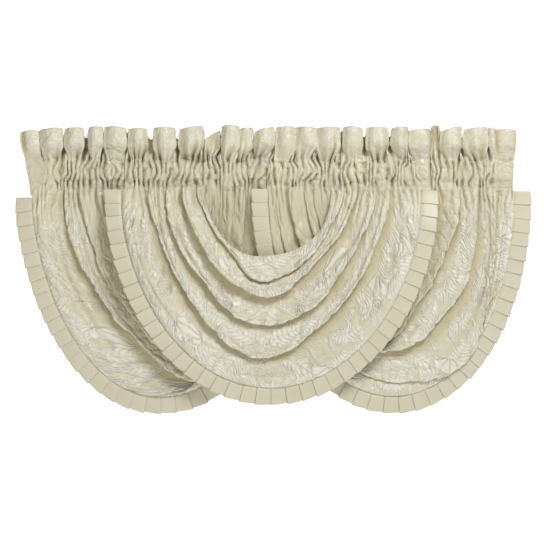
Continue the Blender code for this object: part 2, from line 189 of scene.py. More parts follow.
BROAD_STRAY = (20.0, 26.0 * MM)    # scale of the noise by which the pattern strays, and its range
FINE_STRAY = (75.0, 5.0 * MM)      # and of a finer one

# Noises in the damask itself, by their scale
MOTTLE_SCALE = 14.0
WEAVE_SCALE = 900.0
DRAWN_SCALE, DRAWN_TURNS = 34.0, 30.0   # the fine puckers that draw it in, and how closely they follow

# Knife-pleated trim
PLEAT_PITCH = 35.0 * MM            # width of a pleat along the hem
PLEAT_STEP = 1.6 * MM              # how far a pleat's folded edge stands off the next pleat
PLEAT_RISE = (0.6, 1.2)            # least and most of that step that a single pleat takes
PLEAT_UNDER = 0.12                 # share of that step at which its other edge lies, under its neighbour
PLEAT_SHARES = (0.0, 0.12, 0.25, 0.4, 0.55, 0.7, 0.85, 0.95)   # columns across a pleat
TRIM_WIDTH = 43.0 * MM
TRIM_SAW = 3.5 * MM                # how much further a pleat's folded edge hangs down than its other edge
TRIM_BOW = 1.0 * MM                # how far a pleat curves out
TRIM_TUCK = 1.5 * MM               # how far the trim's seam edge lies behind the hem
TRIM_TURN = 5.0 * MM               # width over which it comes out from there
TRIM_ROWS = 16
HEM_REACH = 4.0 * MM               # distance to each side over which the hem's direction is measured

# Studio, in metres
SENSOR = 36.0                      # width of the camera's sensor in millimetres
CAMERA_PLACE = (0.0064, -0.03, -0.2652)   # the point of the valance that the camera stands straight before
FLOOR_Z = -2.2
FLOOR_SIZE = 14.0
FLOOR_COLOUR = (0.95, 0.95, 0.95)
FLOOR_GLOW = 0.72                  # light that the floor gives by itself, which keeps it pale
PAPER_GLOW = 1.1                   # brightness of the white surroundings to the camera
AIM = (0.0, 0.0, -0.25)            # the point at which the lights aim
WARM = (1.0, 0.92, 0.74)           # colour of the light that fills the shadows
Light = namedtuple("Light", "name setting colour size place")
LIGHTS = (
    Light("key_light", "key", (1.0, 1.0, 0.98), (1.3, 1.3), (1.2, -2.0, 2.1)),
    Light("fill_light", "fill", WARM, (2.5, 2.0), (-1.8, -3.2, 0.5)),
    Light("back_light", "back", (1.0, 0.97, 0.9), (2.5, 2.0), (-1.2, 3.0, 1.2)),
)

# A row for each fold line of a swag, from the free edge to the hem. They are those of the solids, but for
# the two free edges' ends next to the centre swag, which are 3 and 6 mm further out.
Fold = namedtuple("Fold", "left_top left_fall left_sag low_x low_z right_sag right_fall right_top "
                          "out rise hollow_left hollow_right")

CENTRE_FOLDS = (
    Fold(-177, 0.15, 0.70, -37, -217, 0.88, 0.35, 150, 4, 0, 0.3, 0.3),
    Fold(-193, 0.20, 0.32, -27, -273, 0.62, 0.20, 181, 0, 16, 0.2, 0.2),
    Fold(-228, 0.35, 0.32, -19, -323, 0.44, 0.18, 213, 0, 21, 0.3, 0.2),
    Fold(-269, 0.45, 0.36, -24, -391, 0.52, 0.20, 262, 0, 25, 0.9, 0.9),
    Fold(-314, 0.30, 0.44, -32, -463, 0.52, 0.32, 297, 0, 26, 0.9, 0.9),
    Fold(-386, 0.45, 0.62, -4, -551, 0.54, 0.54, 380, 4, 20, 0.6, 0.6),
)

LEFT_FOLDS = (
    Fold(-398, 0.30, 0.50, -290, -165, 0.50, 0.30, -175, 2, 0, 0.3, 0.3),
    Fold(-447, 0.20, 0.35, -236, -405, 0.45, 0.30, -137, 0, 11, 0.3, 0.3),
    Fold(-491, 0.23, 0.40, -221, -487, 0.50, 0.40, -106, 0, 15, 0.8, 0.4),
    Fold(-530, 0.55, 0.20, -190, -532, 0.50, 0.45, -74, 0, 16, 0.5, 0.3),
    Fold(-614, 0.32, 0.68, -287, -576, 0.85, 0.40, -8, 1, 16, 0.9, 0.3),
)

RIGHT_FOLDS = (
    Fold(152, 0.30, 0.50, 285, -165, 0.50, 0.30, 409, 1, 0, 0.3, 0.3),
    Fold(108, 0.20, 0.45, 283, -395, 0.40, 0.30, 423, 0, 12, 0.3, 0.3),
    Fold(83, 0.20, 0.45, 279, -431, 0.25, 0.47, 474, 0, 15, 0.3, 0.9),
    Fold(43, 0.25, 0.50, 284, -464, 0.40, 0.69, 523, 0, 15, 0.3, 0.6),
    Fold(11, 0.35, 0.60, 312, -535, 0.70, 0.84, 568, 5, 11, 0.3, 1.0),
    Fold(-11, 0.50, 0.62, 310, -575, 0.53, 0.62, 618, 3, 7, 0.3, 0.3),
)

# The lies are how far in front of the rod's axis the body hangs at the left, in the middle and at the
# right. Columns run from the left heading to the lowest point and on to the right one, rows are for each
# band between two fold lines. Flat is the width and depth of the panel in metres before it was gathered,
# and area what is left of that after it was cut to a crescent, in square metres.
Swag = namedtuple("Swag", "name folds lie_left lie_low lie_right columns_left columns_right rows flat area")

SWAGS = (
    Swag("left_swag", LEFT_FOLDS, 12, 9, -16, 235, 85, 50, (1.36, 0.55), 0.33),
    Swag("right_swag", RIGHT_FOLDS, 5, 7, 12, 85, 235, 40, (1.38, 0.52), 0.35),
    Swag("centre_swag", CENTRE_FOLDS, 36, 38, 36, 190, 190, 40, (1.43, 0.49), 0.39),
)

# How far along the hem the trim starts and ends, and which way its pleats are pressed: 1 to the right
Trim = namedtuple("Trim", "start end pressed")
TRIMS = {"left_swag": Trim(7, 7, 1), "right_swag": Trim(2, 2, -1), "centre_swag": Trim(1, 1, -1)}

# Creases and rolls laid into a band: the band (1 is below the free edge), where it runs (sides are
# -1 at the left heading, 0 lowest and 1 at the right heading, across is 0 to 1 down the band), its width
# down the band and its depth in millimetres, below 0 for a trough.
Crease = namedtuple("Crease", "swag band side_from across_from side_to across_to width depth")

CREASES = (
    Crease("centre_swag", 1, -0.98, 0.30, -0.25, 0.40, 0.09, -6.0),
    Crease("centre_swag", 1, -0.90, 0.62, -0.15, 0.72, 0.07, -5.0),
    Crease("centre_swag", 1, -0.22, 0.42, 0.10, 0.55, 0.12, -3.0),
    Crease("centre_swag", 1, 0.20, 0.50, 0.80, 0.45, 0.10, -3.0),
    Crease("centre_swag", 2, -0.60, 0.60, 0.25, 0.62, 0.08, -2.5),
    Crease("centre_swag", 2, 0.35, 0.45, 0.98, 0.55, 0.06, -6.0),
    Crease("centre_swag", 3, -0.35, 0.62, 0.22, 0.66, 0.08, -3.5),
    Crease("centre_swag", 3, 0.15, 0.55, 0.75, 0.70, 0.08, -2.5),
    Crease("centre_swag", 3, -0.96, 0.35, -0.30, 0.58, 0.06, -7.0),
    Crease("centre_swag", 3, 0.38, 0.38, 0.98, 0.45, 0.06, -7.0),
    Crease("centre_swag", 4, -0.30, 0.60, 0.30, 0.62, 0.08, -3.5),
    Crease("centre_swag", 4, -0.85, 0.72, -0.35, 0.62, 0.07, -2.5),
    Crease("centre_swag", 4, -0.98, 0.35, -0.42, 0.64, 0.06, -7.5),
    Crease("centre_swag", 4, 0.28, 0.52, 0.97, 0.38, 0.06, -6.5),
    Crease("centre_swag", 5, -0.98, 0.42, -0.60, 0.50, 0.10, -4.5),
    Crease("centre_swag", 5, 0.45, 0.30, 0.95, 0.45, 0.10, -4.0),
    Crease("centre_swag", 5, -0.25, 0.45, 0.30, 0.50, 0.12, -2.5),
    Crease("centre_swag", 5, -0.92, 0.72, -0.35, 0.60, 0.05, -5.0),
    Crease("left_swag", 2, -0.95, 0.55, -0.40, 0.60, 0.08, -2.5),
    Crease("left_swag", 3, -0.96, 0.32, -0.20, 0.50, 0.07, -5.0),
    Crease("left_swag", 3, -0.90, 0.55, -0.30, 0.62, 0.08, -2.5),
    Crease("left_swag", 4, -0.98, 0.28, -0.30, 0.42, 0.06, -6.0),
    Crease("left_swag", 4, -0.95, 0.50, -0.45, 0.60, 0.10, -3.5),
    Crease("left_swag", 4, -0.40, 0.45, 0.10, 0.60, 0.10, -3.0),
    Crease("right_swag", 3, 0.10, 0.62, 0.85, 0.66, 0.08, -2.5),
    Crease("right_swag", 4, 0.25, 0.38, 0.97, 0.42, 0.07, -6.0),
    Crease("right_swag", 4, 0.20, 0.60, 0.90, 0.66, 0.08, -2.5),
    Crease("right_swag", 5, 0.18, 0.32, 0.92, 0.40, 0.06, -5.0),
    Crease("right_swag", 5, 0.30, 0.50, 0.95, 0.55, 0.12, -2.5),
)

# Each heading: its ends along the rod at the foot and at the top edge, the height of its foot at both
# ends, how far in front of the rod's axis its seam holds the swag, and the widths at its ends that are
# left ungathered. The puffs of its ruffle have rows of (left, right, height at the left, height at the
# right, share of the ruffle's forward reach).
Heading = namedtuple("Heading", "name foot_left foot_right top_left top_right "
                                "foot_left_z foot_right_z seam_depth calm_left calm_right puffs")
Puff = namedtuple("Puff", "left right left_z right_z stand")

HEADINGS = (
    Heading("left_swag_heading_left", -618, -379, -646, -373.5, -60, -46, 7, 62, 0, (
        Puff(-646, -597, 99, 104, 0.6), Puff(-595, -539, 105, 110, 1.0), Puff(-531, -485, 108, 110, 1.0),
        Puff(-471, -435, 111, 112, 0.9), Puff(-430, -376, 113, 110, 1.0))),
    Heading("centre_swag_heading_left", -378.5, -177, -373, -177, -48, -48, 10, 0, 0, (
        Puff(-368, -322, 108, 108, 1.0), Puff(-303, -250, 110, 111, 1.0), Puff(-238, -179, 106, 116, 1.0))),
    Heading("left_swag_heading_right", -176.5, -16, -176.5, 5, -46, -44, 0, 0, 0, (
        Puff(-173, -134, 84, 104, -0.3), Puff(-129, -86, 115, 114, 1.0), Puff(-83, -50, 108, 110, 0.7),
        Puff(-45, 4, 101, 113, 1.0))),
    Heading("right_swag_heading_left", -14, 173.5, 7, 175.5, -43, -46, 10, 0, 0, (
        Puff(10, 59, 112, 111, 0.9), Puff(61, 112, 112, 110, 1.0), Puff(114, 171, 109, 112, 1.0))),
    Heading("centre_swag_heading_right", 174, 405, 176, 406, -48, -48, 10, 0, 45, (
        Puff(182, 229, 113, 110, 1.0), Puff(241, 295, 111, 111, 1.0), Puff(305, 346, 109, 112, 1.0),
        Puff(349, 404, 103, 108, 0.7))),
    Heading("right_swag_heading_right", 405.5, 614, 406.5, 623, -48, -49, 7, 0, 52, (
        Puff(408, 427, 116, 117, -0.4), Puff(430, 482, 100, 114, 1.0), Puff(490, 549, 105, 112, 0.9),
        Puff(553, 570, 111, 107, 0.5), Puff(571, 623, 106, 105, 0.3))),
)


# ---------------------------------------------------------------- sizes and colours a user would change

class ValanceCloth(bpy.types.PropertyGroup):
    """The damask cloth."""
    thickness: bpy.props.FloatProperty(
        name="Thickness", description="Thickness of the damask", default=1.2 * MM, unit="LENGTH")
    crumple: bpy.props.FloatProperty(
        name="Crumple", description="Depth of the long soft creases", default=3.3 * MM, unit="LENGTH")
    pucker: bpy.props.FloatProperty(
        name="Pucker", description="Depth of the fine puckers", default=0.4 * MM, unit="LENGTH")
    seed: bpy.props.IntProperty(
        name="Seed", description="Number that the creases are drawn from", default=7)


class ValanceTrim(bpy.types.PropertyGroup):
    """The knife-pleated trim."""
    overlap: bpy.props.FloatProperty(
        name="Overlap", description="Cloth folded under each pleat at the seam", default=11.0 * MM,
        unit="LENGTH")
    thickness: bpy.props.FloatProperty(
        name="Thickness", description="Thickness of the satin", default=0.5 * MM, unit="LENGTH")
    unevenness: bpy.props.FloatProperty(
        name="Unevenness", description="How far a pleat's free corner strays", default=1.4 * MM,
        unit="LENGTH")


class ValanceColours(bpy.types.PropertyGroup):
    """The finishes, and the colours of the shade painted into hollows and creases."""
    relief: bpy.props.FloatProperty(
        name="Relief", description="Height of the woven leaves", default=2.9 * MM, unit="LENGTH")
    ground: bpy.props.FloatVectorProperty(
        name="Ground", description="Satin ground between the leaves", subtype="COLOR", size=3,
        min=0.0, max=1.0, default=(0.76, 0.73, 0.585))
    leaf: bpy.props.FloatVectorProperty(
        name="Leaf", description="Raised leaves", subtype="COLOR", size=3,
        min=0.0, max=1.0, default=(0.88, 0.865, 0.77))
    # Painted shade: a tan that stands in for the shade and warm bounced light deep in hollows between
    # folds, in gathers and under the pleats
    hollow: bpy.props.FloatVectorProperty(
        name="Hollow", description="Cloth deep between two folds", subtype="COLOR", size=3,
        min=0.0, max=1.0, default=(0.60, 0.53, 0.33))
    # Painted shade: the dark colour that stands in for the shade in narrow creases between gathers and
    # right under the folds' lips
    crease: bpy.props.FloatVectorProperty(
        name="Crease", description="Narrow creases between gathers and right under the folds' lips",
        subtype="COLOR", size=3, min=0.0, max=1.0, default=(0.34, 0.29, 0.175))
    satin: bpy.props.FloatVectorProperty(
        name="Satin", description="The trim", subtype="COLOR", size=3,
        min=0.0, max=1.0, default=(0.77, 0.74, 0.60))


class ValanceStage(bpy.types.PropertyGroup):
    """The studio around the valance."""
    lens: bpy.props.FloatProperty(name="Lens", description="Focal length in millimetres", default=120.0)
    view_width: bpy.props.FloatProperty(
        name="View width", description="Width of the view at the cloth", default=1.4025, unit="LENGTH")
    key: bpy.props.FloatProperty(name="Key light", description="Power of the main light", default=71.0,
                                 unit="POWER")
    fill: bpy.props.FloatProperty(name="Fill light", description="Power of the front light", default=16.0,
                                  unit="POWER")
    back: bpy.props.FloatProperty(name="Back light", description="Power of the light behind", default=55.0,
                                  unit="POWER")
    ambient: bpy.props.FloatProperty(name="Ambient", description="Brightness of the room", default=0.12)


# ---------------------------------------------------------------- curves and creases

def ease(value):
    """Smooth step from 0 to 1."""
    share = np.clip(value, 0.0, 1.0)
    return share * share * (3.0 - 2.0 * share)


def bezier(p0, p1, p2, p3, t):
    """Cubic Bezier curve through arrays or numbers at the shares t."""
    return (1 - t) ** 3 * p0 + 3 * (1 - t) ** 2 * t * p1 + 3 * (1 - t) * t ** 2 * p2 + t ** 3 * p3


def lengths(points):
    """How far each point lies along the line through them."""
    steps = np.linalg.norm(np.diff(points, axis=0), axis=1)
    return np.concatenate(([0.0], np.cumsum(steps)))


def drift(u, v, seed):
    """Smooth random values between -1 and 1 over two coordinates, with one bump for each whole step."""
    size = 128
    lattice = np.random.default_rng(seed).uniform(-1.0, 1.0, (size, size))
    u, v = np.broadcast_arrays(u, v)
    column, row = np.floor(u).astype(int), np.floor(v).astype(int)
    across, down = ease(u - column), ease(v - row)
    upper = lattice[column % size, row % size] * (1 - across)
    upper = upper + lattice[(column + 1) % size, row % size] * across
    lower = lattice[column % size, (row + 1) % size] * (1 - across)
    lower = lower + lattice[(column + 1) % size, (row + 1) % size] * across
    return upper * (1 - down) + lower * down


def creased(u, v, seed):
    """Rounded swellings parted by sharp creases, from 0 in a crease to about 1."""
    return np.minimum(1.0, 1.8 * np.abs(drift(u, v, seed)) ** 0.8)


def gather_wave(x, z, seed):
    """Depth of the gathers at x, z in millimetres: 0 in the creases, 1 on the round crests.

    The crests are narrow at the stitch lines and swell until they touch between them.
    """
    x, z = np.broadcast_arrays(x, z)
    stray = sum(size * drift(x / across, z / up, seed + step) for size, across, up, step in GATHER_STRAYS)
    phase = x / SHIRR_PITCH + stray
    slack = gather_slack(x, z, seed + 4)
    pinched = np.exp(-((np.abs(z) - STITCH_Z) / PINCH_REACH) ** 2) * np.where(z < 0.0, PINCH_BELOW, 1.0)
    wave = np.abs(np.sin(np.pi * phase)) ** (0.9 + 0.8 * pinched)
    fine = np.abs(np.sin(np.pi * (FINE_GATHERS * phase + stray)))
    wave = wave * (1.0 - FINE_SHARE * pinched * (1.0 - fine))
    wave = wave * (1.0 - slanting_puckers(x, z, seed + 7))
    crease = np.floor(phase + 0.5)
    cut = np.clip(CUT + CUT_CHANGE * drift(crease * 0.9, z / CUT_LENGTH, seed + 2), LEAST_CUT, 1.0)
    return 1.0 - (1.0 - wave) * cut * slack


def gather_slack(x, z, seed):
    """How deep the gathers may fall, which is deepest in patches along the stitch lines."""
    beyond = np.abs(z) - STITCH_Z
    patchy = np.clip(0.8 + drift(x / 27.0, np.sign(z) * 3.0 + 10.0, seed), 0.0, 1.3)
    held = np.where(z < 0.0, SLACK_BELOW, SLACK_ABOVE) * patchy
    reach = np.where(beyond < 0.0, SLACK_INSIDE, SLACK_OUTSIDE)
    return SLACK + held * np.exp(-(beyond / reach) ** 2)


def slanting_puckers(x, z, seed):
    """Share of a gather that puckers slanting across the rod take off its crest."""
    slant = z / 26.0 * drift(x / 46.0, 7.3, seed)
    turn = x / SLANT_PITCH + slant + 0.8 * drift(x / 31.0, z / 22.0, seed + 1)
    pucker = np.abs(np.sin(np.pi * turn)) ** 0.5
    return SLANT_SHARE * np.exp(-(z / SLANT_REACH) ** 2) * (1.0 - pucker)


# ---------------------------------------------------------------- sheets

def grid_normals(points):
    """Outward directions of a grid of points whose rows run left to right and downwards."""
    across = np.gradient(points, axis=1)
    down = np.gradient(points, axis=0)
    normals = np.cross(down, across)
    size = np.linalg.norm(normals, axis=2, keepdims=True)
    return normals / np.maximum(size, 1e-12)


def cloth_place(points, middle):
    """Distances across and down the cloth for each point of a grid, across from the middle column."""
    across = np.cumsum(np.linalg.norm(np.diff(points, axis=1), axis=2), axis=1)
    across = np.hstack((np.zeros((len(points), 1)), across))
    down = np.cumsum(np.linalg.norm(np.diff(points, axis=0), axis=2), axis=0)
    down = np.vstack((np.zeros((1, points.shape[1])), down))
    return across - across[:, middle:middle + 1], down


def two_sides(points, height, thickness):
    """The front of a cloth with creases of a height, and its back, which follows only the inward ones."""
    normals = grid_normals(points)
    front = points + normals * height[:, :, None]
    behind = points + normals * (np.minimum(height, 0.0) - thickness)[:, :, None]
    return front, behind


def cloth_creases(across, down, cloth, seed):
    """Height of the cloth's own creases and puckers at places on it, in metres."""
    height = np.zeros(across.shape)
    for length, width, size, step in CRUMPLES:
        height += size * (creased(across / (length * MM), down / (width * MM), seed + step) - 0.5)
    length, width = PUCKER_SIZE
    pucker = creased(across / (length * MM), down / (width * MM), seed + 2) - 0.5
    return cloth.crumple * height + cloth.pucker * pucker


def hold_edges(shape, free_rows):
    """1 over a grid of that shape, falling to 0 at its hem and sewn ends and over its first rows."""
    row = np.arange(shape[0])
    column = np.arange(shape[1])
    rows = ease((row - free_rows + 1) / HELD_ROWS) * ease((shape[0] - 1 - row) / HELD_ROWS)
    columns = ease(np.minimum(column, column[::-1]) / HELD_COLUMNS)
    return rows[:, None] * columns[None, :]


def lying_back(points, reach, span, gain, loss):
    """From 0 to 1, how far cloth lies back from the points beside it in its row, which sets where shade is
    painted.

    reach is the number of those to each side and span the depth that counts in full. The gain and the loss
    then leave only the narrow, deep places.
    """
    out = -points[:, :, 1]
    padded = np.pad(out, ((0, 0), (reach, reach)), mode="edge")
    total = np.cumsum(np.pad(padded, ((0, 0), (1, 0))), axis=1)
    mean = (total[:, 2 * reach + 1:] - total[:, :-2 * reach - 1]) / (2 * reach + 1)
    share = np.clip(0.5 + (mean - out) / span, 0.0, 1.0)
    return np.clip(gain * share - loss, 0.0, 1.0)


def add_shell(name, front, behind, marks, place, material, every=1):
    """A closed sheet from a grid of front points and one of points behind them.

    Marks are named values for the material at each front point, and place is where each lies on the flat
    cloth. The back takes only every so many columns.
    """
    rows, columns = front.shape[:2]
    kept = np.unique(np.append(np.arange(0, columns, every), columns - 1))
    points = np.concatenate((front.reshape(-1, 3), behind[:, kept].reshape(-1, 3)))
    mesh = bpy.data.meshes.new(name)
    mesh.from_pydata(points.tolist(), [], shell_faces(rows, columns, kept))
    for label, values in marks.items():
        both = np.concatenate((values.reshape(-1), values[:, kept].reshape(-1)))
        mesh.attributes.new(label, "FLOAT", "POINT").data.foreach_set("value", both.astype(np.float32))
    flat = np.concatenate((place.reshape(-1, 2), place[:, kept].reshape(-1, 2)))
    corners = np.empty(len(mesh.loops), dtype=np.int32)
    mesh.loops.foreach_get("vertex_index", corners)
    mesh.uv_layers.new(name="cloth").uv.foreach_set("vector", flat[corners].astype(np.float32).reshape(-1))
    mesh.shade_smooth()
    mesh.materials.append(material)
    obj = bpy.data.objects.new(name, mesh)
    bpy.context.scene.collection.objects.link(obj)
    return obj


def shell_faces(rows, columns, kept):
    """Faces of a front grid, of a back grid with the kept columns, and of the edges between them."""
    front = np.arange(rows * columns).reshape(rows, columns)
    back = rows * columns + np.arange(rows * len(kept)).reshape(rows, len(kept))
    faces = quads(front) + quads(back[:, ::-1])
    for row in range(rows - 1):
        faces.append((front[row + 1, 0], front[row, 0], back[row, 0], back[row + 1, 0]))
        faces.append((front[row, -1], front[row + 1, -1], back[row + 1, -1], back[row, -1]))
    for slot in range(len(kept) - 1):
        span = slice(kept[slot], kept[slot + 1] + 1)
        faces.append((*front[0, span], back[0, slot + 1], back[0, slot]))
        faces.append((*front[-1, span][::-1], back[-1, slot], back[-1, slot + 1]))
    return [tuple(int(point) for point in face) for face in faces]


def quads(index):
    """Faces between neighbouring rows and columns of a grid of point numbers."""
    corners = (index[:-1, :-1], index[1:, :-1], index[1:, 1:], index[:-1, 1:])
    return np.stack(corners, axis=2).reshape(-1, 4).tolist()


def sewn(obj, node):
    """Hang a finished sheet on the frame in place of its solid."""
    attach(obj, "root")
    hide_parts(node)


# ---------------------------------------------------------------- swag bodies

def swag_heading(swag, side):
    """The left or the right heading of a swag."""
    return next(row for row in HEADINGS if row.name == swag.name + "_heading_" + side)


def own_number(swag):
    """A number that differs from swag to swag, for its random strays."""
    return len(swag.name)


def foot_height(heading, x):
    """Height of a heading's foot at x, in millimetres."""
    ends = (heading.foot_left, heading.foot_right)
    return np.interp(x, ends, (heading.foot_left_z, heading.foot_right_z))


def foot_above(x):
    """Height of the foot of whichever heading hangs above x, in millimetres."""
    heading = next((row for row in HEADINGS if row.foot_left - 2 <= x <= row.foot_right), HEADINGS[-1])
    return foot_height(heading, x)


def waver(line, number):
    """The line of a tuck, strayed a little to both sides in long and short waves between its ends."""
    along = np.linspace(0.0, 1.0, len(line))
    run = np.gradient(line, axis=0)
    across = np.column_stack((-run[:, 1], run[:, 0])) / np.linalg.norm(run, axis=1)[:, None]
    stray = np.zeros(len(line))
    for turns, shift, size in SWINGS:
        stray += size * np.sin(turns * along + shift * number)
    for turns, shift, size, seed in CRINKLES:
        stray += size * drift(turns * along, shift * number, seed)
    return line + across * (WAVER * stray * np.sin(np.pi * along))[:, None]


def half_line(top_x, fall, sag, fold, steps):
    """Even points (x, z) along one half of a fold line, from the heading to its lowest point."""
    top_z = foot_above(top_x) - SEAM / MM
    t = np.linspace(0.0, 1.0, CURVE_STEPS)
    x = bezier(top_x, top_x, fold.low_x + sag * (top_x - fold.low_x), fold.low_x, t)
    z = bezier(top_z, top_z + fall * (fold.low_z - top_z), fold.low_z, fold.low_z, t)
    along = lengths(np.column_stack((x, z)))
    even = np.linspace(0.0, along[-1], steps + 1)
    return np.column_stack((np.interp(even, along, x), np.interp(even, along, z)))


def fold_line(fold, swag):
    """Points (x, z) along a whole fold line, from the left heading to the right one."""
    left = half_line(fold.left_top, fold.left_fall, fold.left_sag, fold, swag.columns_left)
    right = half_line(fold.right_top, fold.right_fall, fold.right_sag, fold, swag.columns_right)
    return np.vstack((left, right[-2::-1]))


def side_shares(swag):
    """-1 at the left heading, 0 at the lowest points and 1 at the right heading, for each column."""
    left = np.linspace(-1.0, 0.0, swag.columns_left + 1)
    right = np.linspace(0.0, 1.0, swag.columns_right + 1)
    return np.concatenate((left, right[1:]))


def lie_depth(swag, side, drop):
    """How far in front of the rod's axis the tucks lie."""
    seams = [swag_heading(swag, end).seam_depth for end in ("left", "right")]
    head = np.where(side < 0, seams[0], seams[1]) * MM
    body = np.interp(side, (-1.0, 0.0, 1.0), (swag.lie_left, swag.lie_low, swag.lie_right)) * MM
    return head + (body - head) * ease(drop / SWING_DROP)


def band_shares(swag, last):
    """Shares down a band at which it has rows, closer together at its lip."""
    even = np.arange(swag.rows) / swag.rows
    shares = 1.0 - (1.0 - even) ** 1.15
    return np.append(shares, 1.0) if last else shares


def gather_depth(top_x, drop, seed):
    """How far the gathers below a heading stand out, by the x at which a row leaves the heading."""
    wave = gather_wave(top_x, -STITCH_Z - GATHER_START - GATHER_STRETCH * drop / MM, seed)
    return SHIRR * GATHER_SHARE * (wave - GATHER_REST) * (1.0 - ease(drop / GATHER_DROP))


def swag_base(swag, seed):
    """The swag in its folds but without creases or relief.

    Gives the grid of points, and for each row its band and share down it, and how far each point stands
    clear of the hollow under the lip above it, which sets its crumples and where shade is painted.
    """
    side = side_shares(swag)
    lines = [fold_line(fold, swag) for fold in swag.folds]
    lines[1:-1] = [waver(line, number) for number, line in enumerate(lines[1:-1])]
    lines = [line * MM for line in lines]
    from_tuck, over = OUT_OF_HOLLOW
    rows, bands, clear = [], [], []
    for band in range(1, len(lines)):
        above, below = lines[band - 1], lines[band]
        fold, previous = swag.folds[band], swag.folds[band - 1]
        last = band == len(lines) - 1
        width = np.linalg.norm(below - above, axis=1)
        height = fold_height(swag, band, side, width)
        hollow = hollow_share(swag, band, side, width)
        for t in band_shares(swag, last):
            across = bezier(0.0, hollow, 1.0 + (HEM_LIP if last else LIP), 1.0, t)
            swell = bezier(*(HEM_SWELL if last else SWELL), t)
            plan = above + (below - above) * across[:, None]
            drop = np.where(side < 0, plan[0, 1], plan[-1, 1]) - plan[:, 1]
            out = (previous.out + (fold.out - previous.out) * t) * MM
            opening = FOLD_AT_TOP + (1.0 - FOLD_AT_TOP) * ease(drop / FOLD_DROP)
            top_x = np.where(side < 0, plan[0, 0], plan[-1, 0]) / MM
            depth = lie_depth(swag, side, drop) + out + height * swell * opening
            depth += gather_depth(top_x, drop, seed)
            rows.append(np.column_stack((plan[:, 0], -depth, plan[:, 1])))
            bands.append(band + t)
            # how clear of the hollow a point stands, less so near the top where the fold has not opened;
            # what it lacks is painted as shade
            out_of_it = ease((across / hollow - from_tuck) / over) if band > 1 else np.ones(len(side))
            clear.append(out_of_it * (1.0 - 0.5 * ease(1.0 - opening)))
    return np.array(rows), np.array(bands), np.array(clear)


def fold_height(swag, band, side, width):
    """How far a band's fold stands out at its crest, column by column."""
    share = np.clip(width / width[swag.columns_left], NARROW_SHARE, WIDE_SHARE)
    change = FOLD_CHANGE * drift(side * 3.0 + 20.0, band * 1.7, own_number(swag))
    return swag.folds[band].rise * MM * share * (1.0 + change)


def hollow_share(swag, band, side, width):
    """The share of a band that its hollow takes, column by column."""
    fold = swag.folds[band]
    sway = np.sin(np.pi * np.abs(side)) ** 1.2
    aside = np.maximum(np.where(side < 0, fold.hollow_left, fold.hollow_right), SIDE_HOLLOW)
    change = FOLD_CHANGE * drift(side * 4.0 + 50.0, band * 1.3, own_number(swag))
    hollow = (EVEN_HOLLOW + sway * (aside - EVEN_HOLLOW)) * (1.0 + change)
    return np.minimum(hollow, WIDEST_HOLLOW / np.maximum(width, 1.0 * MM))


def facing_rows(edge, into):
    """Rows that turn the cloth back behind its free edge, ending at the edge.

    into points down the swag's front from each point of the edge.
    """
    rows = []
    for number in range(FACING_ROWS):
        share = 2.0 * number / FACING_ROWS
        if share < 1.0:
            down = FACING * (1.0 - share) + FACING_ROUND
            back = 2.0 * FACING_ROUND
        else:
            turn = (share - 1.0) * math.pi
            down = FACING_ROUND * (1.0 - math.sin(turn))
            back = FACING_ROUND * (1.0 + math.cos(turn))
        rows.append(edge + into * down + np.array((0.0, back, 0.0)))
    return np.array(rows)


def laid_creases(swag, bands, side):
    """Height of the listed creases and rolls, below 0 in a trough."""
    total = np.zeros((len(bands), len(side)))
    for crease in CREASES:
        if crease.swag != swag.name:
            continue
        run = (side - crease.side_from) / (crease.side_to - crease.side_from)
        centre = crease.band + crease.across_from + (crease.across_to - crease.across_from) * run
        fade = np.sin(np.pi * np.clip(run, 0.0, 1.0)) ** 0.7
        offset = (bands[:, None] - centre) / crease.width
        total += crease.depth * MM * fade * np.exp(-offset ** 2)
    return total


def centre_swag_shadow(points, swag):
    """How deep each point of the other swags lies in the shadow that the centre swag and its trim cast,
    from 0 to 1; this shadow is painted.
    """
    centre = next(row for row in SWAGS if row.name == "centre_swag")
    if swag.name == centre.name:
        return np.zeros(points.shape[:2])
    hem = fold_line(centre.folds[-1], centre) * MM
    lowest = centre.columns_left
    upwards = hem[lowest::-1] if swag.name == "left_swag" else hem[lowest:]
    low_x = hem[lowest, 0]
    edge_x = np.interp(points[:, :, 2], upwards[:, 1], upwards[:, 0])
    beyond = np.abs(points[:, :, 0] - low_x) - np.abs(edge_x - low_x)
    return ease(1.0 - (beyond - TRIM_WIDTH) / CAST_SHADOW_REACH)


def under_lips(share, side):
    """The narrow shade right under each lip, deepest between the swag's middle and its headings."""
    near = np.exp(-(share / LIP_REACH) ** 2) * (share > 0.0)
    row = np.arange(len(share))
    change = drift(LIP_PATCHES * side[None, :] + 30.0, row[:, None] / LIP_PATCH_ROWS, 21)
    patchy = np.clip(0.55 + 0.9 * change, 0.0, 1.0)
    return LIP_SHADE * near[:, None] * patchy * (np.sin(np.pi * np.abs(side)) ** 0.7)[None, :]


def faced_swag(swag, seed):
    """The swag in its folds and laid creases, with its free edge turned back.

    Gives the grid of points, each row's share down its band, and how clear each point stands of the
    hollows, which sets its crumples and where shade is painted.
    """
    points, bands, clear = swag_base(swag, seed)
    laid = laid_creases(swag, bands, side_shares(swag))
    # deep laid troughs take the hollows' painted shade
    clear = clear * (1.0 - 0.8 * np.clip(-laid / DEEP_TROUGH, 0.0, 1.0))
    points = points + grid_normals(points) * laid[:, :, None]
    into = points[4] - points[0]
    into[:, 1] = 0.0
    into /= np.linalg.norm(into, axis=1, keepdims=True)
    points = np.concatenate((facing_rows(points[0], into), points))
    clear = np.concatenate((np.repeat(clear[:1], FACING_ROWS, axis=0), clear))
    clear[:FACING_ROWS + EDGE_ROWS] = EDGE_CLEAR
    share = np.concatenate((np.zeros(FACING_ROWS), bands % 1.0))
    return points, share, clear


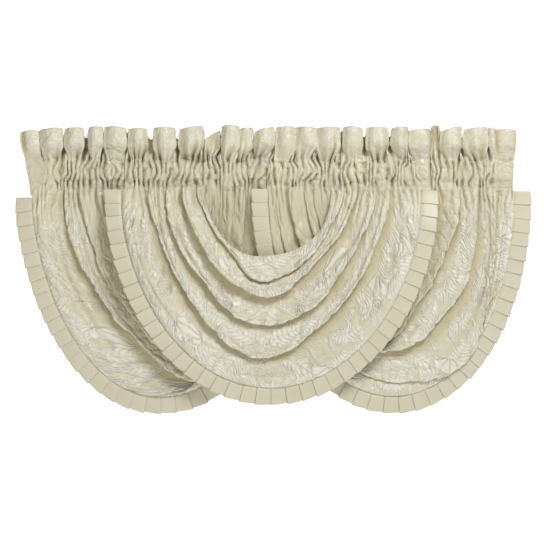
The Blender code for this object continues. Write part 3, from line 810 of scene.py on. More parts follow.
def swag_marks(swag, points, share, clear):
    """How much painted shade the swag's hollows and narrow creases take, and how high its relief is, from 0
    to 1.
    """
    drop = points[:, :1, 2].max() - points[:, :, 2]
    in_gathers = 1.0 - ease(drop / GATHER_DROP)
    cast_shadow = centre_swag_shadow(points, swag)
    columns = points.transpose(1, 0, 2)
    deep = lying_back(columns, *HOLLOW_FIND).T ** HOLLOW_CURVE * in_gathers
    # painted shade: in the hollows under the lips, in the gathers' cavities and in the centre swag's cast
    # shadow
    hollow = np.maximum(np.maximum(1.0 - clear, deep), CAST_SHADOW_SHADE * cast_shadow)
    relief = RELIEF_AT_TOP + (1.0 - RELIEF_AT_TOP) * ease(drop / RELIEF_DROP)
    relief = relief * (1.0 - CAST_SHADOW_CALM * cast_shadow)
    # darker painted shade in the creases between the gathers and right under the lips
    between = GATHER_CREASE * lying_back(columns, *GATHER_FIND).T * in_gathers
    crease = np.maximum(under_lips(share, side_shares(swag)), between)
    return {"hollow": hollow, "relief": relief, "crease": crease}


def build_swag(swag, cloth, material):
    """The body of one swag, in its folds and creases."""
    points, share, clear = faced_swag(swag, cloth.seed)
    across, down = cloth_place(points, swag.columns_left)
    lip = np.exp(-(np.minimum(share, 1.0 - share) / LIP_CALM) ** 2)[:, None]
    lively = (HOLLOW_CALM + (1.0 - HOLLOW_CALM) * clear) * (1.0 - 0.5 * lip)
    height = cloth_creases(across, down, cloth, cloth.seed + 10 * own_number(swag)) * lively
    height *= hold_edges(points.shape, FACING_ROWS + 1)
    front, behind = two_sides(points, height, cloth.thickness)
    marks = swag_marks(swag, points, share, clear)
    place = np.dstack((across, down))
    obj = add_shell(swag.name + "_cloth", front, behind, marks, place, material, every=5)
    sewn(obj, swag.name)
    return obj


# ---------------------------------------------------------------- headings

def smooth_line(knots, steps):
    """Points along a smooth curve through the knots, which may hold any number of values."""
    knots = np.vstack((2 * knots[0] - knots[1], knots, 2 * knots[-1] - knots[-2]))
    pieces = []
    share = np.linspace(0.0, 1.0, steps, endpoint=False)[:, None]
    for p0, p1, p2, p3 in zip(knots, knots[1:], knots[2:], knots[3:]):
        pieces.append(0.5 * (2 * p1 + (p2 - p0) * share + (2 * p0 - 5 * p1 + 4 * p2 - p3) * share ** 2
                             + (3 * p1 - p0 - 3 * p2 + p3) * share ** 3))
    return np.vstack(pieces + [knots[-2][None]])


def ruffle_line(heading):
    """The top edge seen from above: rows of x, y, height and the x that a puff swells from."""
    knots = []
    puffs = heading.puffs
    for before, puff, after in zip((None, *puffs), puffs, (*puffs[1:], None)):
        knots += puff_start(heading, before, puff)
        knots += puff_crest(puff)
        knots += puff_end(heading, puff, after)
    return smooth_line(np.array(knots), steps=10)


def puff_crest(puff):
    """Knots along the front of a puff."""
    width = puff.right - puff.left
    front = RUFFLE_FRONT * puff.stand
    knots = []
    for share, forward in PUFF_PROFILE:
        height = puff.left_z + (puff.right_z - puff.left_z) * share
        height += PUFF_ARCH * math.sin(math.pi * share)
        knots.append((puff.left + share * width, -forward * front, height, puff_middle(puff)))
    return knots


def puff_start(heading, before, puff):
    """Knots that lead to a puff from the gap at its left, or from the heading's own end."""
    middle = puff_middle(puff)
    front = RUFFLE_FRONT * puff.stand
    if before is None and heading.calm_left:
        return [(puff.left, -0.8 * front, puff.left_z, middle)]
    if before is not None and puff.left - before.right <= PARTED:
        return []
    knots = []
    if before is None:
        knots.append((heading.top_left, 0.5 * RUFFLE_BACK, puff.left_z - TURN_DIP, heading.top_left))
    elif puff.left - before.right > WIDE_GAP:
        low = min(puff.left_z, before.right_z) - min(DEEPEST_TURN, TURN_DIP + puff.left - before.right)
        between = (puff.left + before.right) / 2
        knots.append((between, RUFFLE_BACK, low, between))
    knots.append((puff.left + puff_tuck(puff), 0.35 * RUFFLE_BACK, puff.left_z - TURN_DIP / 2, middle))
    knots.append((puff.left, -0.3 * front, puff.left_z, middle))
    return knots


def puff_end(heading, puff, after):
    """Knots that lead from a puff into the gap at its right, or to the heading's own end."""
    if after is None and heading.calm_right:
        return []
    if after is not None and after.left - puff.right <= PARTED:
        return []
    under_x = puff.right - puff_tuck(puff)
    knots = [(under_x, 0.35 * RUFFLE_BACK, puff.right_z - TURN_DIP / 2, puff_middle(puff))]
    if after is None:
        end_x = heading.top_right + END_TUCK_REACH
        knots.append((end_x, 1.2 * RUFFLE_BACK, puff.right_z - TURN_DIP, heading.top_right))
    return knots


def puff_middle(puff):
    """x of a puff's middle."""
    return (puff.left + puff.right) / 2


def puff_tuck(puff):
    """How far a puff's edges turn under."""
    share, most = PUFF_TUCK
    return min(most, share * (puff.right - puff.left))


# For each column of a heading: x and height at the foot, x at an even top edge, the ruffle's point there,
# how gathered the column is and how far it is tucked behind the next heading
Stations = namedtuple("Stations", "foot foot_z even_top top gathered tuck")


def heading_stations(heading):
    """Where the columns of a heading lie and how they are gathered."""
    share = np.linspace(0.0, 1.0, HEADING_COLUMNS)
    foot = heading.foot_left + share * (heading.foot_right - heading.foot_left)
    even_top = heading.top_left + share * (heading.top_right - heading.top_left)
    ruffle = ruffle_line(heading)
    along = lengths(ruffle[:, :2])
    along /= along[-1]
    top = np.column_stack([np.interp(share, along, ruffle[:, axis]) for axis in range(4)])
    gathered = np.ones(HEADING_COLUMNS)
    if heading.calm_left:
        gathered *= ease((foot - heading.foot_left) / heading.calm_left - CALM_START)
    if heading.calm_right:
        gathered *= ease((heading.foot_right - foot) / heading.calm_right - CALM_START)
    return Stations(foot, foot_height(heading, foot), even_top, top, gathered, end_tuck(heading, foot))


def end_tuck(heading, foot):
    """How far each column is tucked behind the next heading, from 0 to 1."""
    if heading == HEADINGS[-1]:
        return np.zeros(len(foot))
    return ease((foot - heading.foot_right + END_TUCK) / END_TUCK)


def front_most(line, x):
    """The smallest y of a line of points at each x, and which point of the line it lies by."""
    best = np.full(len(x), np.inf)
    which = np.zeros(len(x), dtype=int)
    for number, (start, end) in enumerate(zip(line[:-1], line[1:])):
        low, high = sorted((start[0], end[0]))
        if high - low < 1e-9:
            continue
        y = start[1] + (end[1] - start[1]) * (x - start[0]) / (end[0] - start[0])
        nearer = (x >= low) & (x <= high) & (y < best)
        best[nearer] = y[nearer]
        which[nearer] = number
    free = np.isinf(best)
    if free.any():
        held = np.flatnonzero(~free)
        best[free] = np.interp(x[free], x[held], best[held])
        which[free] = which[held[np.abs(held[:, None] - np.flatnonzero(free)).argmin(axis=0)]]
    return best, which


def gathered_x(stations, top, z, spread):
    """x of a row at the heights z: gathers lean a little with the ruffle, flat ends run straight up."""
    foot = stations.foot + END_TUCK_REACH * stations.tuck
    pocket_x = foot + POCKET_SHIFT * (stations.even_top - foot) * ease((z + STITCH_Z) / (2 * STITCH_Z))
    gathered_place = pocket_x + (top[:, 0] - pocket_x) * spread
    straight = foot + (top[:, 0] - foot) * (z - stations.foot_z) / (top[:, 2] - stations.foot_z)
    return gathered_place * stations.gathered + straight * (1.0 - stations.gathered)


def shirr_depth(stations):
    """Depth of the gathers in each column."""
    return SHIRR * (FLAT_SHIRR + (1.0 - FLAT_SHIRR) * stations.gathered)


def stitch_stray(x):
    """How far the stitch lines stray from their height at x, in millimetres."""
    return STITCH_STRAY * (drift(x / 14.0, 0.0, 5) + drift(x / 50.0, 0.0, 6))


def foot_row(stations, share, seam, bottom):
    """A row of the foot at a share of the way up to the pocket's lowest row, bottom.

    It starts from the swag's edge, which lies at the depths seam.
    """
    z = (stations.foot_z - FOOT_LAP) * (1.0 - share) + bottom[:, 2] / MM * share
    sewn_on = seam + SEAM - 3.0 * SEAM * ease(share * 6.0)
    y = sewn_on * (1.0 - ease(share)) + bottom[:, 1] * ease(share)
    y = y + FOOT_TUCK * END_TUCK_DEPTH * stations.tuck * (1.0 - share)
    return np.column_stack((gathered_x(stations, stations.top, z, 0.0) * MM, y, z * MM))


def pocket_row(stations, height, seed, layer):
    """A row of the rod pocket at a height in millimetres, on its front (-1) or back (1) layer."""
    foot = stations.foot
    tucked = END_TUCK_DEPTH * stations.tuck
    bulge = np.clip(1.0 - (height / STITCH_Z) ** 2, 0.0, 1.0) ** POCKET_ROUND
    if layer < 0 and height < 0.0:
        slack = np.clip(0.7 + drift(foot / 21.0, 0.0, 8), 0.2, 1.0)
        bulge = np.maximum(bulge, STITCH_SLACK * slack)
    pinch = HEADER_LEAN - layer * HEADER_THICKNESS * STITCHED / 2 - tucked
    wall = POCKET_DEPTH / 2
    ripple = shirr_depth(stations) * (gather_wave(foot, height, seed) - SHIRR_REST)
    if layer < 0:
        depth = pinch + (wall - tucked - pinch) * bulge + ripple * (1.0 - 0.15 * bulge)
    else:
        back_ripple = shirr_depth(stations) * (gather_wave(foot + BACK_SHIFT, height, seed) - SHIRR_REST)
        depth = pinch + (-wall - pinch) * bulge + ripple * (1.0 - bulge) - BACK_SHIRR * back_ripple * bulge
    x = gathered_x(stations, stations.top, height, 0.0) + POCKET_SKEW * bulge * (layer > 0)
    z = height + stitch_stray(foot) * abs(height / STITCH_Z) ** 3
    return np.column_stack((x * MM, -depth, z * MM))


def header_row(stations, share, wave, layer):
    """A row of the stand-up ruffle at a share of its height, on its front (-1) or back (1) layer."""
    top = stations.top
    stitch_z = STITCH_Z + stitch_stray(stations.foot)
    z = stitch_z + (top[:, 2] - stitch_z) * share
    tulip = top.copy()
    tulip[:, 0] = top[:, 3] + (top[:, 0] - top[:, 3]) * (1.0 + PUFF_SWELL * np.sin(np.pi * share))
    x = gathered_x(stations, tulip, z, ease(share * 2.1) ** 0.8)
    forward = ease(share * 1.8) ** 0.75 * (1.0 + 0.3 * np.sin(np.pi * share))
    depth = HEADER_LEAN - top[:, 1] * MM * forward - END_TUCK_DEPTH * stations.tuck * (1.0 - share)
    depth += shirr_depth(stations) * (wave - SHIRR_REST) * (1.0 - share) ** 1.8
    thin = HEADER_THICKNESS * (STITCHED + (1.0 - STITCHED) * ease(share * 3.0))
    return np.column_stack((x * MM, -(depth - layer * thin / 2), z * MM))


def heading_rows(heading, swag_end, seed):
    """Rows of the heading's cloth: from its back's lower end up, over the top edge and down to the foot.

    swag_end is the swag's gathered edge, whose folds the foot takes up. Also gives which point of that
    edge each column hangs above.
    """
    stations = heading_stations(heading)
    seam, beside = front_most(swag_end, stations.foot * MM)
    bottom = pocket_row(stations, -STITCH_Z, seed, -1)
    wave = gather_wave(stations.foot, STITCH_Z, seed)
    rows = [foot_row(stations, share, seam, bottom) for share in np.arange(FOOT_ROWS) / FOOT_ROWS]
    for height in np.linspace(-STITCH_Z, STITCH_Z, POCKET_ROWS):
        rows.append(pocket_row(stations, height, seed, -1))
    for share in np.linspace(0.0, 1.0, RUFFLE_ROWS + 1)[1:]:
        rows.append(header_row(stations, share, wave, -1))
    for share in np.linspace(1.0, 0.0, RUFFLE_BACK_ROWS + 1)[:-1]:
        rows.append(header_row(stations, share, wave, 1))
    for height in np.linspace(STITCH_Z, -STITCH_Z, POCKET_BACK_ROWS):
        rows.append(pocket_row(stations, height, seed, 1))
    rows.append(rows[-1] - np.array((0.0, 0.0, BACK_END)))
    return np.array(rows[::-1]), beside


def heading_marks(points, end_clear):
    """How much painted shade the heading's hollows and narrow creases take, and how high its relief is,
    from 0 to 1.

    end_clear is how clear of the hollows the swag's edge stands under each column, whose painted shade the
    foot takes up.
    """
    from_foot = np.clip(np.arange(len(points))[::-1] / FOOT_ROWS, 0.0, 1.0)[:, None]
    ruffle = points[:, :1, 2] > STITCH_Z * MM
    # painted shade in the heading's cavities, and at the foot that of the swag's edge
    deep = np.where(ruffle, lying_back(points, *RUFFLE_HOLLOW_FIND),
                    lying_back(points, *HOLLOW_FIND) ** HOLLOW_CURVE)
    hollow = np.maximum((1.0 - end_clear) * (1.0 - from_foot), deep)
    relief = np.tile(np.where(ruffle, RUFFLE_RELIEF, POCKET_RELIEF), (1, points.shape[1]))
    crease = np.where(ruffle, lying_back(points, *RUFFLE_FIND), lying_back(points, *POCKET_FIND))
    return {"hollow": hollow, "relief": relief, "crease": crease * ease(from_foot * 1.6)}


def build_heading(heading, cloth, material, swag_end, end_clear):
    """One gathered heading with its ruffle and rod pocket."""
    points, beside = heading_rows(heading, swag_end, cloth.seed)
    across, down = cloth_place(points, 0)
    seed = cloth.seed + 100 + int(abs(heading.foot_left))
    height = HEADING_CRUMPLE * cloth_creases(across, down, cloth, seed) * hold_edges(points.shape, 1)
    front, behind = two_sides(points, height, HEADING_CLOTH)
    marks = heading_marks(points, end_clear[beside])
    place = np.dstack((across, down))
    obj = add_shell(heading.name + "_cloth", front, behind, marks, place, material, every=3)
    sewn(obj, heading.name)
    return obj


# ---------------------------------------------------------------- pleated trims

def hem_line(swag, seed):
    """Points along the swag's hem and how far each lies along it."""
    hem = swag_base(swag, seed)[0][-1]
    return hem, lengths(hem)


def at_hem(hem, along, where):
    """Points of the hem at distances along it."""
    where = np.clip(where, 0.0, along[-1])
    return np.column_stack([np.interp(where, along, hem[:, axis]) for axis in range(3)])


def hem_outward(hem, along, where):
    """Directions (x, z) straight out from the hem, at distances along it."""
    run = (at_hem(hem, along, where + HEM_REACH) - at_hem(hem, along, where - HEM_REACH))[:, [0, 2]]
    return np.column_stack((run[:, 1], -run[:, 0])) / np.linalg.norm(run, axis=1)[:, None]


def pleat_stations(length, trim, seed):
    """Columns of the pleated strip, pressed to the right.

    Each has its place along the hem, how far it is tucked under, its depth from 0 (under its neighbour) to
    about 1 (the folded edge), its share along the pleat and two stray values of the pleat.
    """
    count = round(length / PLEAT_PITCH)
    pitch = length / count
    random = np.random.default_rng(seed)
    columns = []
    for pleat in range(count):
        start = pleat * pitch
        end = start + pitch
        stray, tilt = random.uniform(-1.0, 1.0, 2)
        rise = random.uniform(*PLEAT_RISE)
        overlap = trim.overlap if pleat else 0.0
        for share in PLEAT_SHARES:
            depth = PLEAT_UNDER + (rise - PLEAT_UNDER) * share ** 1.3
            columns.append((start + pitch * share, -overlap * (1.0 - share), depth, share, stray, tilt))
        if pleat == count - 1:
            columns.append((length, 0.0, 0.95, 1.0, stray, tilt))
            continue
        # the folded edge and the cloth that turns back under it
        columns.append((end, 0.0, rise - 0.04, 1.0, stray, tilt))
        columns.append((end, -0.2 * trim.overlap, rise - 0.3, 0.98, stray, tilt))
        columns.append((end, -0.6 * trim.overlap, 0.32, 0.9, stray, tilt))
    return np.array(columns)


def trim_row(hem, along, columns, width_share, trim, sunk_depth):
    """A row of the trim at a share of its width, which starts sunk_depth behind the swag's front."""
    where, under, depth, saw, stray, tilt = columns.T
    lean = trim.unevenness * stray * width_share * ease(saw * 2.0 - 1.0)
    place = np.clip(where + under * (1.0 - 0.5 * width_share) + lean, 0.0, along[-1])
    point = at_hem(hem, along, place)
    width = TRIM_WIDTH + TRIM_SAW * (saw - 0.5) + 0.5 * trim.unevenness * tilt
    reach = -TRIM_TUCK + (width + TRIM_TUCK) * width_share
    lift = PLEAT_STEP * (0.8 * ease(width_share * 2.5) + 0.9 * width_share ** 2)
    bow = TRIM_BOW * np.sin(np.pi * saw) * width_share * tilt
    sunk = -sunk_depth * (1.0 - ease((reach - SEAM) / TRIM_TURN))
    front = -point[:, 1] + lift * depth + sunk + bow + TRIM_BOW * np.sin(np.pi * width_share)
    flat = point[:, [0, 2]] + hem_outward(hem, along, place) * reach[:, None]
    return np.column_stack((flat[:, 0], -front, flat[:, 1]))


def build_trim(swag, cloth, trim, material):
    """The knife-pleated strip sewn along the swag's hem."""
    hem, along = hem_line(swag, cloth.seed)
    start, end, pressed = TRIMS[swag.name]
    length = along[-1] - (start + end) * MM
    columns = pleat_stations(length, trim, own_number(swag))
    if pressed < 0:
        columns = columns[::-1].copy()
        columns[:, 0] = length - columns[:, 0]
        columns[:, 1] = -columns[:, 1]
    columns[:, 0] += start * MM
    sunk_depth = cloth.thickness + SEAM + trim.thickness
    points = np.array([trim_row(hem, along, columns, width_share, trim, sunk_depth)
                       for width_share in np.linspace(0.0, 1.0, TRIM_ROWS)])
    across, down = cloth_place(points, 0)
    place = np.dstack((across, down))
    behind = points - grid_normals(points) * trim.thickness
    depth, stray = columns[:, 2], columns[:, 4]
    # painted shade where a pleat lies low under its neighbour, with a random tone for each pleat
    marks = {"hollow": np.tile(1.0 - depth + 0.35 * stray, (TRIM_ROWS, 1))}
    obj = add_shell(swag.name + "_trim_satin", points, behind, marks, place, material)
    sewn(obj, swag.name + "_trim")
    return obj


# ---------------------------------------------------------------- materials

class Socket:
    """A shader value that plain arithmetic can be written with."""

    def __init__(self, shader, link):
        self.shader = shader
        self.link = link

    def math(self, operation, *others):
        """A Math node on this value."""
        return self.shader.node("ShaderNodeMath", {"operation": operation},
                                dict(enumerate((self,) + others)))

    def __add__(self, other):
        return self.math("ADD", other)

    __radd__ = __add__

    def __sub__(self, other):
        return self.math("SUBTRACT", other)

    def __rsub__(self, other):
        return self.shader.node("ShaderNodeMath", {"operation": "SUBTRACT"}, {0: other, 1: self})

    def __mul__(self, other):
        return self.math("MULTIPLY", other)

    __rmul__ = __mul__

    def __truediv__(self, other):
        return self.math("DIVIDE", other)

    def __abs__(self):
        return self.math("ABSOLUTE")

    def __pow__(self, power):
        return self.math("POWER", power)

    def sine(self):
        """The sine of an angle."""
        return self.math("SINE")

    def cosine(self):
        """The cosine of an angle."""
        return self.math("COSINE")

    def root(self):
        """The square root, or 0 below 0."""
        return self.math("MAXIMUM", 0.0).math("SQRT")

    def limited(self):
        """The value held between 0 and 1."""
        return self.shader.node("ShaderNodeClamp", {}, {0: self})

    def also(self, name):
        """Another output of the same node."""
        return Socket(self.shader, self.link.node.outputs[name])

    def parts(self):
        """The x, y and z of a vector."""
        split = self.shader.node("ShaderNodeSeparateXYZ", {}, {0: self})
        return split, split.also("Y"), split.also("Z")


class Shader:
    """One material and the ways to add nodes to it."""

    def __init__(self, name):
        self.material = bpy.data.materials.new(name)
        self.material.use_nodes = True
        self.tree = self.material.node_tree
        self.surface = self.tree.nodes["Principled BSDF"]

    def node(self, kind, settings, inputs, output=0):
        """Add a node, its settings first, then the values or links of its sockets."""
        made = self.tree.nodes.new(kind)
        for name, value in settings.items():
            setattr(made, name, value)
        for name, value in inputs.items():
            self.feed(made.inputs[name], value)
        return Socket(self, made.outputs[output])

    def feed(self, socket, value):
        """Link a value to a socket or set it there."""
        if isinstance(value, Socket):
            self.tree.links.new(value.link, socket)
        else:
            socket.default_value = value

    def mark(self, name):
        """One of the mesh's own marks."""
        return self.node("ShaderNodeAttribute", {"attribute_name": name}, {}, "Fac")

    def cloth(self):
        """Where a point lies on the flat cloth, in metres."""
        return self.node("ShaderNodeUVMap", {"uv_map": "cloth"}, {})

    def noise(self, place, scale, detail):
        """Soft noise between about 0 and 1."""
        return self.node("ShaderNodeTexNoise", {}, {"Vector": place, "Scale": scale, "Detail": detail})

    def mix(self, share, first, second):
        """A colour between two."""
        return self.node("ShaderNodeMix", {"data_type": "RGBA"}, {0: share, 6: first, 7: second}, 2)

    def bump(self, strength, distance, height):
        """A normal tilted by a height from 0 to 1 that stands for a distance."""
        return self.node("ShaderNodeBump", {},
                         {"Strength": strength, "Distance": distance, "Height": height})

    def finish(self, **inputs):
        """Set the surface's own sockets and give the material."""
        for name, value in inputs.items():
            self.feed(self.surface.inputs[name.replace("_", " ")], value)
        return self.material


def opaque(colour):
    """A colour with its alpha."""
    return (*colour, 1.0)


def toned(colour, share):
    """A colour darkened to a share of itself."""
    return tuple(share * value for value in colour)


def repeat_place(shader):
    """The place on the cloth within the damask's repeat, strayed a little as woven cloth is."""
    x, y, _ = shader.cloth().parts()
    scale, size = BROAD_STRAY
    stray = (shader.noise(shader.cloth(), scale, 0.0) - 0.5) * size
    scale, size = FINE_STRAY
    stray = stray + (shader.noise(shader.cloth(), scale, 0.0) - 0.5) * size
    column = (x / REPEAT + 0.5).math("FLOOR")
    folded = x.math("PINGPONG", REPEAT / 2)
    return shader.node("ShaderNodeCombineXYZ", {}, {0: folded + stray, 1: y + column * STEP_DOWN + stray})


def motif_frame(shader, place, size):
    """The nearest motif's own axes: how far a point lies ahead and aside, then its kind and its bend."""
    nearest = shader.node("ShaderNodeTexVoronoi", {"voronoi_dimensions": "2D"},
                          {"Vector": place, "Scale": 1.0 / size, "Randomness": 0.8}, "Position")
    offset = shader.node("ShaderNodeVectorMath", {"operation": "SUBTRACT"}, {0: place, 1: nearest})
    x, y, _ = offset.parts()
    turn, kind, bend = nearest.also("Color").parts()
    angle = turn * (2.0 * math.pi)
    ahead = x * angle.cosine() + y * angle.sine()
    aside = y * angle.cosine() - x * angle.sine()
    return ahead, aside, kind, bend


def leaf_relief(ahead, aside, bend, length, width, lobes):
    """Height of a bent leaf with ribs to its lobes and a groove along its middle."""
    aside = aside + ahead * ahead * (bend * LEAF_BEND - LEAF_BEND / 2)
    reached = (ahead / length + 0.5).limited()
    swept = (abs(aside) / width) ** 1.7 * 1.5
    ribs = abs(((reached * (bend * 0.4 + 0.8) * lobes - swept) * math.pi).sine())
    half = (reached * math.pi).sine() ** 0.6 * (ribs * 0.35 + 0.65) * width + 0.01 * MM
    dome = (1.0 - (aside / half) ** 2.0).root()
    groove = (abs(aside) / GROOVE).limited() * GROOVE_DEPTH + (1.0 - GROOVE_DEPTH)
    return dome * (ribs * 0.62 + 0.38) * groove


def scroll_relief(ahead, aside, size):
    """Height of a cord wound into a volute."""
    reach = (ahead * ahead + aside * aside).root()
    turns = aside.math("ARCTAN2", ahead) / (2.0 * math.pi)
    cord = ((reach / (0.36 * size) - turns) * (2.0 * math.pi)).cosine() * 0.5 + 0.5
    return cord * ((size - reach) / SOFT_EDGE).limited()


def fan_relief(ahead, aside, size):
    """Height of a fan of petals."""
    base = ahead + 0.8 * size
    reach = (base * base + aside * aside).root()
    angle = aside.math("ARCTAN2", base)
    petals = abs((angle * 5.0).cosine()) ** 0.7
    rim = (((petals * 0.3 + 1.3) * size - reach) / SOFT_EDGE).limited()
    heart = ((reach - 5.0 * MM) / SOFT_EDGE).limited()
    sides = ((1.25 - abs(angle)) * 8.0).limited()
    return petals * rim * heart * sides


def damask_relief(shader):
    """Height of the woven pattern from 0 to 1: leaves, volutes and fans with small leaves between them."""
    place = repeat_place(shader)
    ahead, aside, kind, bend = motif_frame(shader, place, MOTIF)
    is_scroll = kind.math("LESS_THAN", SCROLLS_BELOW)
    is_fan = kind.math("GREATER_THAN", FANS_ABOVE)
    leaf = leaf_relief(ahead, aside, bend, *LEAF)
    scroll = scroll_relief(ahead, aside, VOLUTE_REACH)
    fan = fan_relief(ahead, aside, FAN_REACH)
    large = leaf * (1.0 - is_scroll) * (1.0 - is_fan) + scroll * is_scroll + fan * is_fan
    ahead, aside, _, bend = motif_frame(shader, place, FILLER)
    small = leaf_relief(ahead, aside, bend, *SMALL_LEAF)
    between = 1.0 - (large * 8.0).limited()
    return large.math("MAXIMUM", small * between * 0.8)


def damask_material(colours):
    """Ivory damask: softly raised leaves on a glossier satin ground, all drawn in by fine puckers, with
    painted shade in its hollows and darker painted shade in its narrow creases.
    """
    shader = Shader("ivory_damask")
    place = shader.cloth()
    hollow = shader.mark("hollow")
    mottle = shader.noise(place, MOTTLE_SCALE, 3.0)
    raised = damask_relief(shader)
    puckers = (shader.noise(place, DRAWN_SCALE, 1.0) * DRAWN_TURNS).sine()
    weave = shader.noise(place, WEAVE_SCALE, 2.0)
    # how much painted shade a point takes, in random patches; the leaves show less of their colour in it
    deep = (hollow + (mottle - 0.5) * 0.3).limited()
    full = shader.mark("relief")
    inside = (raised * 3.0).limited() * (1.0 - 0.5 * deep) * full
    relief = (raised * full + puckers * 0.08) * (1.0 - 0.6 * deep) + weave * 0.05
    colour = shader.mix(inside, opaque(colours.ground), opaque(colours.leaf))
    # painted shade in the hollows, then darker painted shade in the narrow creases
    colour = shader.mix(deep * 0.8, colour, opaque(colours.hollow))
    colour = shader.mix(shader.mark("crease") * 0.9, colour, opaque(colours.crease))
    bump = shader.bump(1.0, colours.relief, relief)
    return shader.finish(Base_Color=colour, Roughness=0.27 + 0.15 * inside + 0.08 * mottle, Normal=bump,
                         Sheen_Weight=0.2, Sheen_Roughness=0.35)


def satin_material(colours):
    """Plain smooth satin with a faint slub, and painted shade where a pleat lies under its neighbour."""
    shader = Shader("ivory_satin")
    place = shader.cloth()
    mottle = shader.noise(place, 30.0, 3.0)
    weave = shader.noise(place, 1200.0, 1.0)
    hollow = shader.mark("hollow")
    colour = shader.mix(mottle * 0.7, opaque(colours.satin), opaque(toned(colours.satin, 0.90)))
    # painted shade where a pleat lies under its neighbour, with a random tone for each pleat
    colour = shader.mix((hollow * 0.20).limited(), colour, opaque(colours.hollow))
    slub = weave * 0.3 + mottle
    bump = shader.bump(0.5, 0.3 * MM, slub)
    return shader.finish(Base_Color=colour, Roughness=0.40 + 0.10 * mottle, Normal=bump,
                         Sheen_Weight=0.15, Sheen_Roughness=0.4)


def stage_material(name, colour, glow):
    """Plain matt paper."""
    shader = Shader(name)
    speckle = shader.noise(shader.node("ShaderNodeTexCoord", {}, {}, "Object"), 3.0, 2.0)
    tone = shader.mix(speckle, opaque(colour), opaque(toned(colour, 0.98)))
    return shader.finish(Base_Color=tone, Roughness=0.9, Emission_Color=opaque(colour),
                         Emission_Strength=glow)


# ---------------------------------------------------------------- stage

def add_light(light, power):
    """A soft rectangular light aimed at the valance."""
    bpy.ops.object.light_add(type="AREA", location=light.place)
    lamp = bpy.context.object
    lamp.name = light.name
    lamp.data.shape = "RECTANGLE"
    lamp.data.size, lamp.data.size_y = light.size
    lamp.data.energy = power
    lamp.data.color = light.colour
    x, y, z = (goal - start for goal, start in zip(AIM, light.place))
    lamp.rotation_euler = (math.atan2(math.hypot(x, y), -z), 0.0, math.atan2(-x, y))


def build_world(stage):
    """White paper all round that the camera sees, and the weaker warm light that it sheds."""
    world = bpy.data.worlds.new("studio")
    bpy.context.scene.world = world
    world.use_nodes = True
    nodes, links = world.node_tree.nodes, world.node_tree.links
    shed = nodes["Background"]
    shed.inputs["Color"].default_value = opaque(WARM)
    shed.inputs["Strength"].default_value = stage.ambient
    paper = nodes.new("ShaderNodeBackground")
    paper.inputs["Color"].default_value = (1.0, 1.0, 1.0, 1.0)
    paper.inputs["Strength"].default_value = PAPER_GLOW
    seen = nodes.new("ShaderNodeLightPath")
    either = nodes.new("ShaderNodeMixShader")
    links.new(seen.outputs["Is Camera Ray"], either.inputs[0])
    links.new(shed.outputs[0], either.inputs[1])
    links.new(paper.outputs[0], either.inputs[2])
    links.new(either.outputs[0], nodes["World Output"].inputs["Surface"])


def build_stage(stage):
    """Floor, lights, surroundings and camera."""
    bpy.ops.object.select_all(action="DESELECT")
    bpy.ops.mesh.primitive_plane_add(size=FLOOR_SIZE, location=(0.0, 0.0, FLOOR_Z))
    floor = bpy.context.object
    floor.name = "studio_floor"
    bpy.ops.object.transform_apply(location=True)
    floor.data.materials.append(stage_material("studio_floor_paper", FLOOR_COLOUR, FLOOR_GLOW))
    for light in LIGHTS:
        add_light(light, getattr(stage, light.setting))
    build_world(stage)
    bpy.context.scene.view_settings.view_transform = "Standard"
    x, y, z = CAMERA_PLACE
    distance = stage.view_width * stage.lens / SENSOR
    bpy.ops.object.camera_add(location=(x, y - distance, z), rotation=(math.pi / 2, 0.0, 0.0))
    camera = bpy.context.object
    camera.data.lens = stage.lens
    camera.data.sensor_width = SENSOR
    camera.data.clip_end = 50.0
    bpy.context.scene.camera = camera


# ---------------------------------------------------------------- operators and panel

def shared_material(name, make, colours):
    """A material by name, made the first time it is asked for."""
    return bpy.data.materials.get(name) or make(colours)


class VALANCE_OT_swags(bpy.types.Operator):
    """Hang the three damask swags"""
    bl_idname = "valance.swags"
    bl_label = "Hang Swags"

    def execute(self, context):
        scene = context.scene
        material = shared_material("ivory_damask", damask_material, scene.valance_colours)
        for swag in SWAGS:
            build_swag(swag, scene.valance_cloth, material)
        return {"FINISHED"}


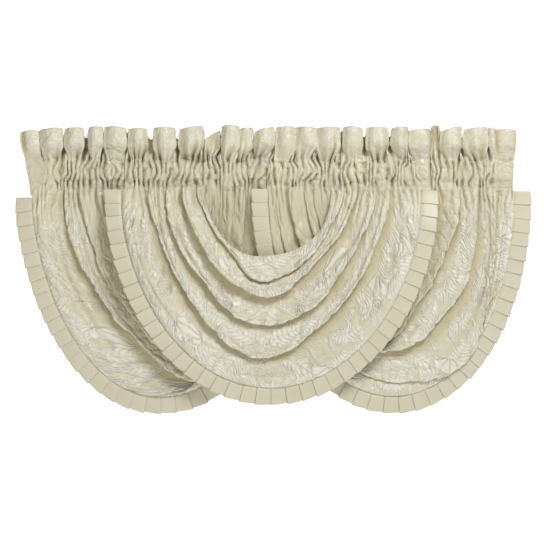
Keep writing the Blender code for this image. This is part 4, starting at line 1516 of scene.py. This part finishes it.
class VALANCE_OT_headings(bpy.types.Operator):
    """Gather the six ruffled headings over the rod"""
    bl_idname = "valance.headings"
    bl_label = "Gather Headings"

    def execute(self, context):
        scene = context.scene
        material = shared_material("ivory_damask", damask_material, scene.valance_colours)
        for swag in SWAGS:
            points, _, clear = swag_base(swag, scene.valance_cloth.seed)
            for side, column in (("left", 0), ("right", -1)):
                build_heading(swag_heading(swag, side), scene.valance_cloth, material,
                              points[:, column], clear[:, column])
        return {"FINISHED"}


class VALANCE_OT_trims(bpy.types.Operator):
    """Sew the knife-pleated trims along the hems"""
    bl_idname = "valance.trims"
    bl_label = "Sew Trims"

    def execute(self, context):
        scene = context.scene
        material = shared_material("ivory_satin", satin_material, scene.valance_colours)
        for swag in SWAGS:
            build_trim(swag, scene.valance_cloth, scene.valance_trim, material)
        return {"FINISHED"}


class VALANCE_OT_stage(bpy.types.Operator):
    """Set up the floor, lights, surroundings and camera"""
    bl_idname = "valance.stage"
    bl_label = "Set Stage"

    def execute(self, context):
        build_stage(context.scene.valance_stage)
        return {"FINISHED"}


class VALANCE_PT_panel(bpy.types.Panel):
    """Sizes, finishes and steps of the valance"""
    bl_label = "Waterfall Swag Valance"
    bl_space_type = "VIEW_3D"
    bl_region_type = "UI"
    bl_category = "Valance"

    def draw(self, context):
        for group in ("valance_cloth", "valance_trim", "valance_colours", "valance_stage"):
            settings = getattr(context.scene, group)
            box = self.layout.box()
            for name in settings.bl_rna.properties.keys():
                if name not in ("rna_type", "name"):
                    box.prop(settings, name)
        for step in ("swags", "headings", "trims", "stage"):
            self.layout.operator("valance." + step)


GROUPS = {"valance_cloth": ValanceCloth, "valance_trim": ValanceTrim, "valance_colours": ValanceColours,
          "valance_stage": ValanceStage}
CLASSES = (*GROUPS.values(), VALANCE_OT_swags, VALANCE_OT_headings, VALANCE_OT_trims, VALANCE_OT_stage,
           VALANCE_PT_panel)


def register():
    for made in CLASSES:
        bpy.utils.register_class(made)
    for name, group in GROUPS.items():
        setattr(bpy.types.Scene, name, bpy.props.PointerProperty(type=group))


def unregister():
    for name in GROUPS:
        delattr(bpy.types.Scene, name)
    for made in reversed(CLASSES):
        bpy.utils.unregister_class(made)


def main():
    """Dress the frame piece by piece."""
    register()
    bpy.ops.valance.swags()
    bpy.ops.valance.headings()
    bpy.ops.valance.trims()
    bpy.ops.valance.stage()


if __name__ == "__main__":
    main()
